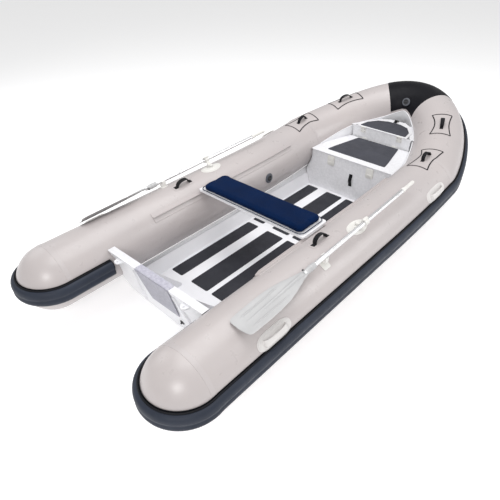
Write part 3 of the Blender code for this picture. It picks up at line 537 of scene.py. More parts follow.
def pucker(along, turn):
    """Small gathers beside the glued seam of the stern cone, and the slight unevenness of a filled tube."""
    near = exp(-((along - CONE_SEAM) / 0.045) ** 2)
    folds = sin(23 * turn + 1.3 * sin(5 * turn)) * (0.55 + 0.45 * sin(3 * turn + 0.7))
    drift = noise.noise(Vector((along * 2.2, cos(turn) * 1.1, sin(turn) * 1.1)))
    return 0.0006 * near * folds + 0.0006 * drift - 0.0008


def tube_ring(u, seed=0.0):
    centre, out, up = ring_frame(u)
    ring = []
    for turn in turns(AROUND):
        lift = pucker(u, turn + seed) if u < BOW_START - 0.2 else pucker(5.0 + u, turn)
        ring.append(centre + (out * cos(turn) + up * sin(turn)) * (TUBE_R + lift))
    return ring


def cone_ring(turn, seed):
    turn = radians(turn)
    ring = []
    for side in turns(AROUND):
        radius = TUBE_R + pucker(-TUBE_R * sin(turn), side + seed)
        flat = radius * cos(turn)
        ring.append(Vector((HALF_SPACING + flat * cos(side), -radius * sin(turn), flat * sin(side))))
    return ring


for side, sign in SIDES:
    seed = 0.0 if sign > 0 else 1.9
    rings = [cone_ring(t, seed) for t in (89.6, 88, *range(85, 8, -4), 6, 3)]
    rings += [tube_ring(u, seed) for u in STRAIGHT]
    piece = skin("tube_skin_" + side, sided(rings, sign), "tube_fabric", 60.0)
    belongs(piece, "tube_fabric", "tube_" + side)

rings = [tube_ring(u) for u in BOW]
rings += [mirrored(r) for r in rings[-2::-1]]
belongs(skin("tube_skin_bow", rings, "tube_fabric", 60.0), "tube_fabric", "tube_bow")


def seam_ring(name, u, width, sign, lift=0.0007):
    """A tape glued round the tube over a butt seam, open only where the hull hides it."""
    rings = []
    for angle in spread(-125.0, 205.0, 110):
        rings.append([on_tube(u - width / 2, angle, -0.0015),
                on_tube(u - width / 2 + 0.001, angle, lift * 0.8), on_tube(u, angle, lift),
                on_tube(u + width / 2 - 0.001, angle, lift * 0.8), on_tube(u + width / 2, angle, -0.0015)])
    return skin(name, sided(rings, sign), "seam_fabric", 60.0)


for side, sign in SIDES:
    belongs(seam_ring("cone_tape_" + side, 0.016, 0.030, sign), "tube_fabric")
    belongs(seam_ring("bow_tape_" + side, BOW_START - 0.012, 0.034, sign, 0.0005), "tube_fabric")
    rings = []
    for u in STRAIGHT:
        rings.append([on_tube(u, -60.0 + d, l) for d, l in ((-4.0, -0.001), (-3.8, 0.0004), (3.8, 0.0004),
                (4.0, -0.001))])
    belongs(skin("long_tape_" + side, sided(rings, sign), "seam_fabric", 60.0), "tube_fabric")


# ---- Strakes --------------------------------------------------------------
STRAKE = ((15.0, -0.002), (0.0, -0.002), (-15.0, -0.002), (-14.6, 0.003), (-14.2, 0.0085), (-13.2, 0.0145),
        (-11.5, 0.0200), (-9.5, 0.0245), (-7.5, 0.0278), (-5.5, 0.0290), (-3.8, 0.0280), (-2.4, 0.0255),
        (-1.2, 0.0238), (0.2, 0.0240), (1.4, 0.0262), (2.7, 0.0290), (4.4, 0.0300), (6.4, 0.0297),
        (8.4, 0.0285), (10.2, 0.0262), (11.8, 0.0222), (13.0, 0.0165), (13.8, 0.0105), (14.6, 0.004))


def strake_path():
    """Stations round one tube: centre, outward and upward directions, and how far the strake stands off."""
    path = []
    up = Vector((0, 0, 1))
    for y in spread(0.29, 0.02, 9):
        path.append((Vector((HALF_SPACING, y, 0)), Vector((-1, 0, 0)), up, 0.003))
    for turn in spread(180.0, 0.0, 48):
        turn = radians(turn)
        path.append((Vector((HALF_SPACING, 0, 0)), Vector((cos(turn), -sin(turn), 0)), up, 0.0030))
    for u in spread(0.04, SHEER_START, 36) + spread(SHEER_START, BOW_START, 30)[1:] + BOW[1:]:
        centre, out, rise = ring_frame(u)
        path.append((centre, out, rise, 0.0006 if u <= SHEER_START else 0.0012))
    return path


PATH = strake_path()


def profile_ring(station, profile):
    centre, out, up, off = station
    ring = []
    for angle, proud in profile:
        turn = radians(angle)
        ring.append(centre + (out * cos(turn) + up * sin(turn)) * (TUBE_R + off + proud))
    return ring


def bead_ring(station, angle, proud, radius, count=10):
    centre, out, up, off = station
    turn = radians(angle)
    radial = out * cos(turn) + up * sin(turn)
    along = up * cos(turn) - out * sin(turn)
    middle = centre + radial * (TUBE_R + off + proud)
    return [middle + (radial * cos(a) + along * sin(a)) * radius for a in turns(count)]


for side, sign in SIDES:
    rings = [profile_ring(s, STRAKE) for s in PATH]
    belongs(skin("strake_body_" + side, sided(rings, sign), "strake_rubber", 50.0), "strake_rubber",
            "strake_" + side)
    rings = [bead_ring(s, 15.0, 0.0055, 0.0052) for s in PATH]
    belongs(skin("strake_piping_" + side, sided(rings, sign), "piping", 60.0), "strake_rubber")
    rings = [profile_ring(s, ((14.6, -0.001), (14.6, 0.0012), (17.6, 0.0010), (17.6, -0.001)))
            for s in PATH]
    belongs(skin("strake_edge_tape_" + side, sided(rings, sign), "piping", 60.0), "strake_rubber")
    block = [profile_ring(s, [(a, p * 1.02) for a, p in STRAKE]) for s in (PATH[0], PATH[0])]
    block[0] = [p + Vector((0, 0.004, 0)) for p in block[0]]
    belongs(skin("strake_end_" + side, sided(block, sign), "piping", 50.0), "strake_rubber")


# ---- Bow patch ------------------------------------------------------------
def patch_reach(angle):
    """How far down the tube from the stem the patch reaches at an angle."""
    part = min(1.0, max(0.0, (angle - 70.0) / 100.0))
    return 0.190 + 0.040 * part


def band_on_bow(name, angles, lift, thick, look, reach=patch_reach, cols=36):
    rows = []
    for angle in angles:
        top = []
        under = []
        for k in range(-cols, cols + 1):
            u = BOW_START + 1.0 - reach(angle) * abs(k) / cols
            low = on_tube(u, angle, lift)
            high = on_tube(u, angle, lift + thick)
            if abs(k) == cols:
                high = on_tube(u + 0.002, angle, lift + thick * 0.6)
            if k < 0:
                low.x, high.x = -low.x, -high.x
            under.append(low)
            top.append(high)
        rows.append(under + top[::-1])
    return skin(name, rows, look, 50.0)


patch = band_on_bow("bow_patch_skin", spread(15.0, 173.0, 72), -0.001, 0.0030, "black_fabric")
belongs(patch, "black_fabric", "bow_patch")


# ---- Hull -----------------------------------------------------------------
def rake_y(z):
    return TRANSOM_Y + (0.1 - z) * RAKE


RIM_ANGLE = -130.5
RIM_CURVE = [on_tube(BOW_START + i / 200.0, RIM_ANGLE, 0.005) for i in range(201)]


def rim(y):
    if y <= RIM_CURVE[0].y:
        return on_tube(y, RIM_ANGLE, 0.005)
    for a, b in zip(RIM_CURVE, RIM_CURVE[1:]):
        if b.y >= y:
            return a.lerp(b, (y - a.y) / max(b.y - a.y, 1e-9))
    return RIM_CURVE[-1]


HULL_SECTIONS = ((0.45, 0.893, -0.281, KEEL_Z), (2.05, 0.893, -0.281, KEEL_Z),
        (2.30, 0.890, -0.281, KEEL_Z), (2.45, 0.885, -0.280, -0.336), (2.65, 0.850, -0.225, -0.306),
        (2.85, 0.800, -0.165, -0.245), (3.05, 0.720, -0.100, -0.165), (3.20, 0.620, -0.035, -0.085),
        (3.30, 0.520, 0.022, -0.005), (3.345, 0.450, 0.072, 0.055))


def hull_at(y):
    for a, b in zip(HULL_SECTIONS, HULL_SECTIONS[1:]):
        if y <= b[0]:
            t = (y - a[0]) / (b[0] - a[0])
            return tuple(p + (q - p) * t for p, q in zip(a, b))
    return HULL_SECTIONS[-1]


def hull_half(y, inset):
    """One side of a frame, inset by the plate's thickness: rim, chine, knee and keel with eased corners."""
    _, share, chine, keel = hull_at(y)
    edge = rim(y)
    fore = min(1.0, max(0.0, (y - 2.3) / 0.15))
    knee = (0.06 * (1 - fore) + edge.x * share * 0.3 * fore,
            keel + 0.0085 * (1 - fore) + (chine - keel) * 0.3 * fore)
    key = [(edge.x - inset, edge.z), (edge.x * share - inset * 0.9, chine + inset * 0.6),
            (knee[0], knee[1] + inset), (0.0, keel + inset)]
    half = [key[0]]
    for a, b, c in zip(key, key[1:], key[2:]):
        a, b, c = Vector(a), Vector(b), Vector(c)
        ease = min(0.016, (a - b).length * 0.3, (c - b).length * 0.3)
        first = b + (a - b).normalized() * ease
        last = b + (c - b).normalized() * ease
        for t in (0.0, 0.33, 0.66, 1.0):
            half.append(tuple(first * (1 - t) ** 2 + b * 2 * t * (1 - t) + last * t * t))
    return half + [key[-1]]


hull_rings = []
for y in [0.45] + spread(0.7, 2.30, 10) + spread(2.33, 3.345, 34):
    outer_half = hull_half(y, 0.0)
    inner_half = hull_half(y, PLATE)
    ring = outer_half + [(-x, z) for x, z in outer_half[-2::-1]]
    ring += [(-x, z) for x, z in inner_half] + [(x, z) for x, z in inner_half[-2::-1]]
    aft = y == 0.45
    hull_rings.append([Vector((x, rake_y(z) + TRANSOM_T + 0.0003 if aft else y, z)) for x, z in ring])
belongs(skin("hull_skin", hull_rings, "white_hull", 32.0), "white_hull", "hull_bottom")
for side, sign in SIDES:
    # A spray rail is pressed along each chine.
    rings = []
    for y in spread(0.55, 2.95, 40):
        _, share, chine, _ = hull_at(y)
        x = rim(y).x * share
        taper = min(1.0, (2.95 - y) / 0.5) * min(1.0, (y - 0.53) / 0.05)
        rings.append([Vector((x - 0.030, y, chine - 0.004)),
                Vector((x - 0.014, y, chine - 0.003 - 0.009 * taper)),
                Vector((x + 0.001, y, chine - 0.002 - 0.004 * taper)),
                Vector((x + 0.002, y, chine + 0.006)), Vector((x - 0.008, y, chine + 0.003))])
    belongs(skin("spray_rail_" + side, sided(rings, sign), "white_hull", 40.0), "white_hull")


# ---- Cockpit sole and its pads --------------------------------------------
def dress(node, look, width=0.0, segments=2, angle=32.0):
    """A CAD node that shows as it is, with a finish and rolled edges."""
    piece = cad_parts[node]
    piece.data.materials.clear()
    piece.data.materials.append(LOOKS[look])
    if width:
        soften(piece, width, segments, angle)
    return piece


dress("deck_plate", "sole_paint")
pad_number = 0
for near, far in ((0.725, 1.548), (1.602, 2.372)):
    for low, high in ((-0.385, -0.276), (-0.182, -0.021), (0.021, 0.182), (0.276, 0.385)):
        pad_number += 1
        outline = filleted([(low, near), (high, near), (high, far), (low, far)], 0.014)
        belongs(slab("sole_pad_%d" % pad_number, outline, DECK_Z - 0.0005, DECK_Z + 0.0030, "tread_mat",
                0.001), "tread_mat")


# ---- Transom --------------------------------------------------------------
dress("transom_plate", "white_hull", 0.0022, 3)
dress("transom_cap", "white_hull", 0.0028, 3)
dress("motor_pad", "grey_plastic", 0.0012)
dress("motor_pad_top", "pad_top", 0.0008)
dress("drain_plug", "black_plastic", 0.0006)
dress("keel_shoe", "bare_aluminium", 0.0012)
rake_out = Vector((0, -1, -RAKE)).normalized()
for i, (x, z) in enumerate(((-0.136, 0.100), (0.136, 0.100), (-0.116, -0.130), (0.116, -0.130))):
    seat = Vector((x, rake_y(z) - 0.0106, z))
    screw = turned("motor_pad_screw_%d" % (i + 1), seat, rake_out,
            [(-0.002, 0.0050), (0.0005, 0.0050), (0.0014, 0.0042), (0.0018, 0.0020), (0.0008, 0.0012)],
            "steel", 20)
    belongs(screw, "steel")
for i, (x, y) in enumerate(((-0.143, -0.014), (-0.143, 0.014), (0.143, -0.014), (0.143, 0.014))):
    seat = Vector((x, rake_y(CAP_TOP) + 0.0205 + y, CAP_TOP + 0.0025))
    screw = turned("pad_top_screw_%d" % (i + 1), seat, (0, 0, 1),
            [(0.0, 0.0032), (0.0009, 0.0032), (0.0014, 0.0022)], "steel", 16)
    belongs(screw, "steel")


# ---- Bow lockers ----------------------------------------------------------
COAMING_TOP = ((2.40, 177.0), (2.55, 174.0), (2.70, 170.5), (2.85, 167.0), (2.97, 166.5), (3.07, 168.5),
        (3.20, 174.5), (3.32, 179.0))


def read_at(table, value):
    for (a, low), (b, high) in zip(table, table[1:]):
        if value <= b:
            return low + (high - low) * max(0.0, (value - a) / (b - a))
    return table[-1][1]


def inside_x(y, z, gap):
    """Half width of the clear space between the tubes at y and z, keeping gap from their skins."""
    best = 9.0
    for u in spread(min(y, BOW_START) - 0.05, BOW_START, 30) + spread(BOW_START, BOW_START + 1.0, 240):
        centre, out, _ = ring_frame(u)
        rise = (z - centre.z) / (TUBE_R + gap)
        if abs(rise) < 1:
            back = centre - out * (TUBE_R + gap) * sqrt(1 - rise * rise)
            if abs(back.y - y) < 0.012:
                best = min(best, back.x)
    return best


COAMING_ROWS = spread(2.418, BOW_START, 8) + BOW[1:]
rings = []
for u in COAMING_ROWS:
    top = read_at(COAMING_TOP, axis_point(u).y)
    profile = [(226.0 + (top + 1.2 - 226.0) * j / 12, 0.0040) for j in range(13)]
    profile += [(top + 0.8, 0.0075), (top + 0.1, 0.0085), (top - 0.8, 0.0078), (top - 1.3, 0.0050),
            (top - 1.2, 0.0015)]
    profile += [(top - 1.0 + (226.0 - top + 1.0) * j / 12, 0.0005) for j in range(13)]
    rings.append([on_tube(u, a, lift) for a, lift in profile])
rings += [mirrored(r) for r in rings[-2::-1]]
belongs(skin("coaming_skin", rings, "white_hull", 40.0), "white_hull", "bow_coaming")

# Ledges welded along the coaming carry the lids' edges.
for name, z, aft, fore in (("step_ledge", STEP_TOP - 0.0062, STEP_Y + 0.004, RISER_Y - 0.004),
        ("bow_ledge", BOW_TOP - 0.0062, RISER_Y + 0.006, 3.16)):
    for side, sign in SIDES:
        rings = []
        for y in spread(aft, fore, 16):
            x = inside_x(y, z, 0.0) + 0.004
            rings.append([Vector((x, y, z)), Vector((x - 0.040, y, z)), Vector((x - 0.040, y, z - 0.0025)),
                    Vector((x, y, z - 0.0025))])
        belongs(skin(name + "_" + side, sided(rings, sign), "white_hull", 30.0), "white_hull")

dress("step_front", "white_hull", 0.0008)
dress("bow_riser", "white_hull", 0.0008)
dress("step_lid", "white_hull", 0.0014, 3)
dress("bow_lid", "white_hull", 0.0014, 3)
LID_MAT = 0.004
step_plan = filleted([(-0.280, 2.476), (0.280, 2.476), (0.262, 2.58), (0.200, 2.858), (-0.200, 2.858),
        (-0.262, 2.58)], 0.012)
belongs(slab("step_pad_mat", step_plan, STEP_TOP, STEP_TOP + LID_MAT, "lid_mat", 0.0012), "tread_mat",
        "step_lid_pad", body="step_hatch")
bow_plan = filleted([(-0.222, 2.900), (0.222, 2.900), (0.206, 3.00), (0.146, 3.086), (0.062, 3.122),
        (-0.062, 3.122), (-0.146, 3.086), (-0.206, 3.00)], 0.010)
belongs(slab("bow_pad_mat", bow_plan, BOW_TOP, BOW_TOP + LID_MAT, "lid_mat", 0.0012), "tread_mat",
        "bow_lid_pad", body="bow_hatch")

for side, sign in SIDES:
    dress("bow_hinge_" + side, "light_plastic", 0.0006)
    for i, (dx, dz) in enumerate(((-0.016, -0.020), (0.016, -0.020), (-0.016, -0.044), (0.016, -0.044))):
        seat = Vector((sign * 0.178 + dx, RISER_Y - 0.0026, BOW_TOP + dz))
        screw = turned("hinge_screw_%s_%d" % (side, i + 1), seat, (0, -1, 0),
                [(0.0, 0.0042), (0.0012, 0.0042), (0.0018, 0.0030)], "steel", 16)
        belongs(screw, "steel")
    for lid, body, y, z in (("step", "step_hatch", RISER_Y - 0.010, STEP_TOP + 0.0015),
            ("bow", "bow_hatch", RISER_Y - 0.0058, BOW_TOP - 0.008)):
        x = sign * (0.150 if lid == "step" else 0.178)
        bar = turned("%s_knuckle_%s" % (lid, side), (x - 0.024, y, z + 0.0045), (1, 0, 0),
                [(0.0, 0.0030), (0.001, 0.0045), (0.015, 0.0045), (0.0155, 0.0040), (0.016, 0.0045),
                (0.032, 0.0045), (0.0325, 0.0040), (0.033, 0.0045), (0.047, 0.0045), (0.048, 0.0030)],
                "light_plastic", 20)
        belongs(bar, "white_hull", body=body)
    latch = rounded(0.034, 0.044, 0.011, 6)
    place = Matrix.Translation((sign * 0.190, STEP_Y - 0.0006, 0.022)) @ Matrix.Rotation(radians(90), 4,
            "X")
    body = slab("latch_body_" + side, latch, 0.0, 0.0105, "light_plastic", 0.0035, place)
    grip = slab("latch_grip_" + side, rounded(0.024, 0.011, 0.006, 5), 0.0095, 0.0130, "light_plastic",
            0.0015, place @ Matrix.Translation((0, -0.018, 0)))
    belongs(joined("latch_lever_" + side, [body, grip]), "light_plastic", "latch_" + side,
            body="latch_%s_lever" % side)


# ---- Straps and handles ---------------------------------------------------
def strap(name, path, width, thick, place, look="webbing", edge=0.0007):
    """A strap along (s, h) points: rounded selvedges, thick above the path and width across."""
    rings = []
    last = len(path) - 1
    for i, (s, h) in enumerate(path):
        a = Vector(path[max(0, i - 1)])
        b = Vector(path[min(last, i + 1)])
        along = (b - a).normalized()
        rise = Vector((-along.y, along.x))
        ring = []
        for w, t in ((-width / 2, 0.5), (-width / 2 + edge, 0.0), (0.0, 0.0), (width / 2 - edge, 0.0),
                (width / 2, 0.5), (width / 2 - edge, 1.0), (0.0, 1.0), (-width / 2 + edge, 1.0)):
            ring.append(place(s + rise.x * thick * t, w, h + rise.y * thick * t))
        rings.append(ring)
    return skin(name, rings, look, 50.0)


def arch(foot, half, height, steps=28, power=0.72, base=0.0):
    """A loop's path: a flat foot, an arch and a flat foot."""
    path = [(-foot, base), (-(foot + half) / 2, base)]
    for i in range(steps + 1):
        turn = pi * i / steps
        path.append((-half * cos(turn), base + height * sin(turn) ** power))
    return path + [((foot + half) / 2, base), (foot, base)]


def place_on(y, angle, sign, lift=0.0):
    """Maps (along, across, height) on to the tube."""
    def place(s, w, h):
        point = on_tube(u_at(y + s), angle - degrees(w / TUBE_R), lift + h)
        return Vector((sign * point.x, point.y, point.z))
    return place


def glued(name, place, rows, half_of, thick, look, cols=16, edge=0.0012, low=-0.0012):
    """A patch glued to the tube: half_of(s) is its half width at s."""
    rings = []
    for s in rows:
        half = half_of(s)
        under = [place(s, half * (2 * j / cols - 1), low) for j in range(cols + 1)]
        inner = max(half - edge, half * 0.5)
        over = [place(s, inner * (2 * j / cols - 1), thick) for j in range(cols + 1)]
        rings.append(under + over[::-1])
    return skin(name, rings, look, 45.0)


def eased_rows(half_length, corner, steps=18):
    """Rows with extra ones in the corners."""
    rows = [-half_length + corner * (1 - cos(pi / 2 * k / 6)) for k in range(7)]
    inner = spread(-half_length + corner, half_length - corner, steps)[1:-1]
    return rows + inner + [-r for r in rows[::-1]]


def corner_cut(s, half_length, corner):
    """How much a rounded corner takes off the half width at s."""
    over = abs(s) - (half_length - corner)
    if over <= 0:
        return 0.0
    over = min(over, corner)
    return corner - sqrt(max(0.0, corner * corner - over * over))


def ribbon(name, loop, place, width, low, high, look):
    """A flat line laid round a closed loop of (s, w) points."""
    rings = []
    count = len(loop)
    for i in range(count):
        a = Vector(loop[i - 1])
        b = Vector(loop[(i + 1) % count])
        along = (b - a).normalized()
        side = Vector((-along.y, along.x)) * width / 2
        here = Vector(loop[i])
        left, right = here + side, here - side
        rings.append([place(left.x, left.y, low), place(left.x, left.y, high),
                place(here.x, here.y, high * 1.15), place(right.x, right.y, high),
                place(right.x, right.y, low)])
    return skin(name, rings, look, 60.0, closed_loop=True)


def hourglass(half_length, spread_w, waist, inset=0.0):
    """Closed outline of a patch that is narrower in the middle."""
    def half(s):
        part = min(1.0, abs(s) / half_length)
        return spread_w * (waist + (1 - waist) * part ** 2)
    edge = [(s, half(s)) for s in spread(-half_length, half_length, 24)]
    outline = [Vector(p) for p in edge + [(s, -w) for s, w in edge[::-1]]]
    return half, resampled(filleted(outline_shrunk(outline, inset), 0.016, 5), 0.006)


def resampled(loop, step):
    """The same closed loop with no chord longer than step."""
    full = []
    for i, p in enumerate(loop):
        a, b = Vector(p), Vector(loop[(i + 1) % len(loop)])
        count = max(1, ceil((b - a).length / step))
        full += [tuple(a.lerp(b, k / count)) for k in range(count)]
    return full


def outline_shrunk(outline, inset):
    middle = sum(outline, Vector((0, 0))) / len(outline)
    shrunk = []
    for p in outline:
        d = p - middle
        shrunk.append(tuple(middle + Vector((d.x - copysign(inset, d.x), d.y - copysign(inset, d.y)))))
    kept = [shrunk[0]]
    for p in shrunk[1:]:
        if (Vector(p) - Vector(kept[-1])).length > 0.004:
            kept.append(p)
    return kept


for side, sign in SIDES:
    for where, y, angle, half_length, half_width in (("aft", 2.525, 96.0, 0.155, 0.092),
            ("fore", 3.045, 92.0, 0.142, 0.090)):
        name = "bow_handle_%s_%s" % (where, side)
        node = "handle_bow_%s_%s" % (where, side)
        place = place_on(y, angle, sign)
        half, loop = hourglass(half_length, half_width, 0.72, 0.009)
        rows = eased_rows(half_length, 0.016)
        base = glued(name + "_patch", place, rows, lambda s: half(s) - corner_cut(s, half_length, 0.016),
                0.0011, "tube_fabric")
        belongs(base, "tube_fabric", node)
        belongs(ribbon(name + "_outline", loop, place, 0.0086, 0.0006, 0.0023, "piping"), "black_fabric")
        bar = strap(name + "_loop", arch(0.070, 0.050, 0.040, base=0.0010), 0.027, 0.0032, place)
        belongs(bar, "webbing")
    y, angle = (1.140, 99.0) if sign > 0 else (1.065, 99.0)
    place = place_on(y, angle, sign)
    name = "mid_handle_" + side
    base = glued(name + "_patch", place, eased_rows(0.092, 0.014, 8),
            lambda s: 0.030 - corner_cut(s, 0.092, 0.014), 0.0011, "tube_fabric")
    belongs(base, "tube_fabric", "handle_mid_" + side)
    belongs(strap(name + "_loop", arch(0.078, 0.052, 0.041, base=0.0010), 0.028, 0.0032, place), "webbing")
    for where, y in (("aft", 0.455), ("fore", 2.290)):
        name = "lift_%s_%s" % (where, side)
        place = place_on(y, 28.0, sign)
        oval = lambda s, a, b: b * (1 - min(1.0, abs(s) / a) ** 3.2) ** (1 / 2.4) + 0.0015
        rows = [0.128 * sin(radians(a)) for a in spread(-90, 90, 30)]
        parts = [glued(name + "_a", place, rows, lambda s: oval(s, 0.1285, 0.046), 0.0022, "grey_fabric",
                14), glued(name + "_b", place, [s * 0.93 for s in rows], lambda s: oval(s, 0.1195, 0.040),
                0.0042, "grey_fabric", 14), glued(name + "_c", place, [s * 0.86 for s in rows],
                lambda s: oval(s, 0.1105, 0.033), 0.0060, "grey_fabric", 14)]
        base = belongs(joined(name + "_base", parts), "grey_fabric", "lift_handle_%s_%s" % (where, side))
        rings = []
        for t in spread(-1.0, 1.0, 34):
            s = 0.088 * t
            h = 0.0015 + 0.0265 * max(0.0, 1 - abs(t) ** 4.5) ** 0.5
            half = 0.0135 + 0.006 * abs(t) ** 3
            deep = 0.0045 + 0.002 * abs(t) ** 3
            rings.append([place(s, half * c, h + deep * n) for c,
                    n in (squared(t, 0.6) for t in turns(14))])
        belongs(skin(name + "_bar", rings, "grey_fabric", 60.0), "grey_fabric")

pull_arch = [(3.126, 0.0045), (3.136, 0.0046), (3.144, 0.006), (3.150, 0.011), (3.156, 0.0150),
        (3.162, 0.0155), (3.168, 0.0120), (3.172, 0.006), (3.176, 0.0015), (3.183, 0.0006)]
piece = strap("bow_pull_strap", pull_arch, 0.030, 0.003, lambda s, w, h: Vector((w, s, BOW_TOP + h)))
belongs(piece, "webbing", "bow_lid_pull", body="bow_hatch")
front_arch = [(s, 0.0004 + 0.011 * cos(pi * s / 0.088) ** 2 if abs(s) < 0.044 else 0.0004)
        for s in spread(-0.056, 0.056, 28)]
piece = strap("front_pull_strap", front_arch, 0.032, 0.0028, lambda s, w,
        h: Vector((0.018 + w, STEP_Y - h, -0.100 + s)))
belongs(piece, "webbing", "front_strap")


# ---- Seat -----------------------------------------------------------------
TRACK_ENDS = (0.69, 2.18)
for side, sign in SIDES:
    rings = []
    for u in spread(*TRACK_ENDS, 40):
        end = min(u - TRACK_ENDS[0], TRACK_ENDS[1] - u)
        lip = 0.55 + 0.45 * min(1.0, end / 0.012)
        out = normal_at(u, TRACK_ANGLE)
        flat = Vector((-out.z, 0, out.x))
        root = on_tube(u, TRACK_ANGLE, 0.0)
        ring = [on_tube(u, a, -0.001) for a in (125.0, 135.0, 145.0)] + [on_tube(u, 144.5, 0.0020),
                on_tube(u, 138.0, 0.0026)]
        for w, h in ((0.0030, 0.004), (0.0024, 0.012), (0.0040, 0.0135), (0.0046, 0.0155), (0.0036, 0.0178),
                (0.0, 0.0186), (-0.0036, 0.0178), (-0.0046, 0.0155), (-0.0040, 0.0135), (-0.0024, 0.012),
                (-0.0030, 0.004)):
            ring.append(root + flat * w + out * h * lip)
        ring += [on_tube(u, 132.0, 0.0026), on_tube(u, 125.5, 0.0020)]
        rings.append(ring)
    belongs(skin("track_" + side, sided(rings, sign), "tube_fabric", 45.0), "tube_fabric",
            "seat_track_" + side)

dress("seat_board", "white_hull", 0.0012, 2, 40.0)


LAST_FRAME = 20


def inflate(piece, cap, pressure=4.0, voxel=0.006):
    """Swells a closed shape as stuffing fills its cover, and keeps the result."""
    scene = bpy.context.scene
    bpy.context.view_layer.objects.active = piece
    remesh = piece.modifiers.new("even", "REMESH")
    remesh.mode = "VOXEL"
    remesh.voxel_size = voxel
    graph = bpy.context.evaluated_depsgraph_get()
    mesh = bpy.data.meshes.new_from_object(piece.evaluated_get(graph))
    piece.modifiers.clear()
    piece.data = mesh
    rest = [v.co.copy() for v in mesh.vertices]
    cloth_mod = piece.modifiers.new("fill", "CLOTH")
    settings = cloth_mod.settings
    settings.quality = 4
    settings.use_pressure = True
    settings.uniform_pressure_force = pressure
    settings.tension_stiffness = 25.0
    settings.compression_stiffness = 12.0
    settings.bending_stiffness = 1.5
    settings.effector_weights.gravity = 0.0
    cloth_mod.point_cache.frame_start = 1
    cloth_mod.point_cache.frame_end = LAST_FRAME
    for number in range(1, LAST_FRAME + 1):
        scene.frame_set(number)
    graph = bpy.context.evaluated_depsgraph_get()
    moved = [v.co.copy() for v in piece.evaluated_get(graph).data.vertices]
    piece.modifiers.clear()
    scene.frame_set(1)
    for vertex, a, b in zip(mesh.vertices, rest, moved):
        step = b - a
        if step.length > cap:
            step = step * (cap / step.length)
        vertex.co = a + step


cushion = slab("seat_cushion_pad", rounded(0.444, 0.116, 0.036, 8), SEAT_TOP + 0.0045, SEAT_TOP + 0.034,
        "navy_cloth", 0.010, Matrix.Translation((0, SEAT_Y, 0)))
inflate(cushion, 0.010)
floor_z = SEAT_TOP - SHOE_Z + 0.0008
ceiling = SEAT_TOP - SHOE_Z + 0.046
for vertex in cushion.data.vertices:
    co = vertex.co
    x, y = co.x, co.y + MID_Y - SEAT_Y
    quilt = 0.0012 * noise.noise(Vector((x * 9.0, y * 14.0, 3.1)))
    if co.z > floor_z + 0.012:
        co.z += quilt
    co.z = min(max(co.z, floor_z), ceiling)
wearing(cushion, "navy_cloth", 80.0)
smooth = cushion.modifiers.new("smooth", "SUBSURF")
smooth.levels = 1
smooth.render_levels = 1
belongs(cushion, "navy_cloth", "seat_cushion", body="seat")

welt = []
outline = rounded(0.4525, 0.1225, 0.040, 10)
for i, (x, y) in enumerate(outline):
    a = Vector(outline[i - 1])
    b = Vector(outline[(i + 1) % len(outline)])
    along = (b - a).normalized()
    out = Vector((along.y, -along.x, 0))
    middle = Vector((x, SEAT_Y + y, SEAT_TOP + 0.0075))
    welt.append([middle + (out * cos(t) + Vector((0, 0, 1)) * sin(t)) * 0.0028 for t in turns(10)])
belongs(skin("seat_cushion_welt", welt, "navy_edge", 70.0, closed_loop=True), "navy_cloth", body="seat")


# ---- Oars -----------------------------------------------------------------
def oar_frame(lock, yaw):
    """Carries the oar, laid along y from its oarlock, to its place."""
    return Matrix.Translation(lock) @ Matrix.Rotation(yaw, 4, "Z") @ Matrix.Rotation(OAR_SLOPE, 4, "X")


def blade_half(along, neck, tip):
    """Half width of the blade at a distance along the oar."""
    key = ((neck + 0.01, 0.0165), (neck - 0.03, 0.0190), (neck - 0.08, 0.0290), (neck - 0.13, 0.0430),
            (neck - 0.19, 0.0590), (neck - 0.26, 0.0725), (neck - 0.34, 0.0780), (neck - 0.42, 0.0790),
            (tip + 0.060, 0.0770), (tip, 0.0735))
    for a, b in zip(key, key[1:]):
        if along >= b[0]:
            t = min(1.0, max(0.0, (a[0] - along) / (a[0] - b[0])))
            t = t * 0.5 + (t * t * (3 - 2 * t)) * 0.5
            return a[1] + (b[1] - a[1]) * t
    return key[-1][1]


ACROSS = (-1.0, -0.985, -0.955, -0.90, -0.80, -0.70, -0.63, -0.595, -0.565, -0.535, -0.505, -0.47, -0.40,
        -0.30, -0.22, -0.18, -0.15, -0.11, -0.06, 0.0)
ACROSS = ACROSS + tuple(-a for a in ACROSS[-2::-1])


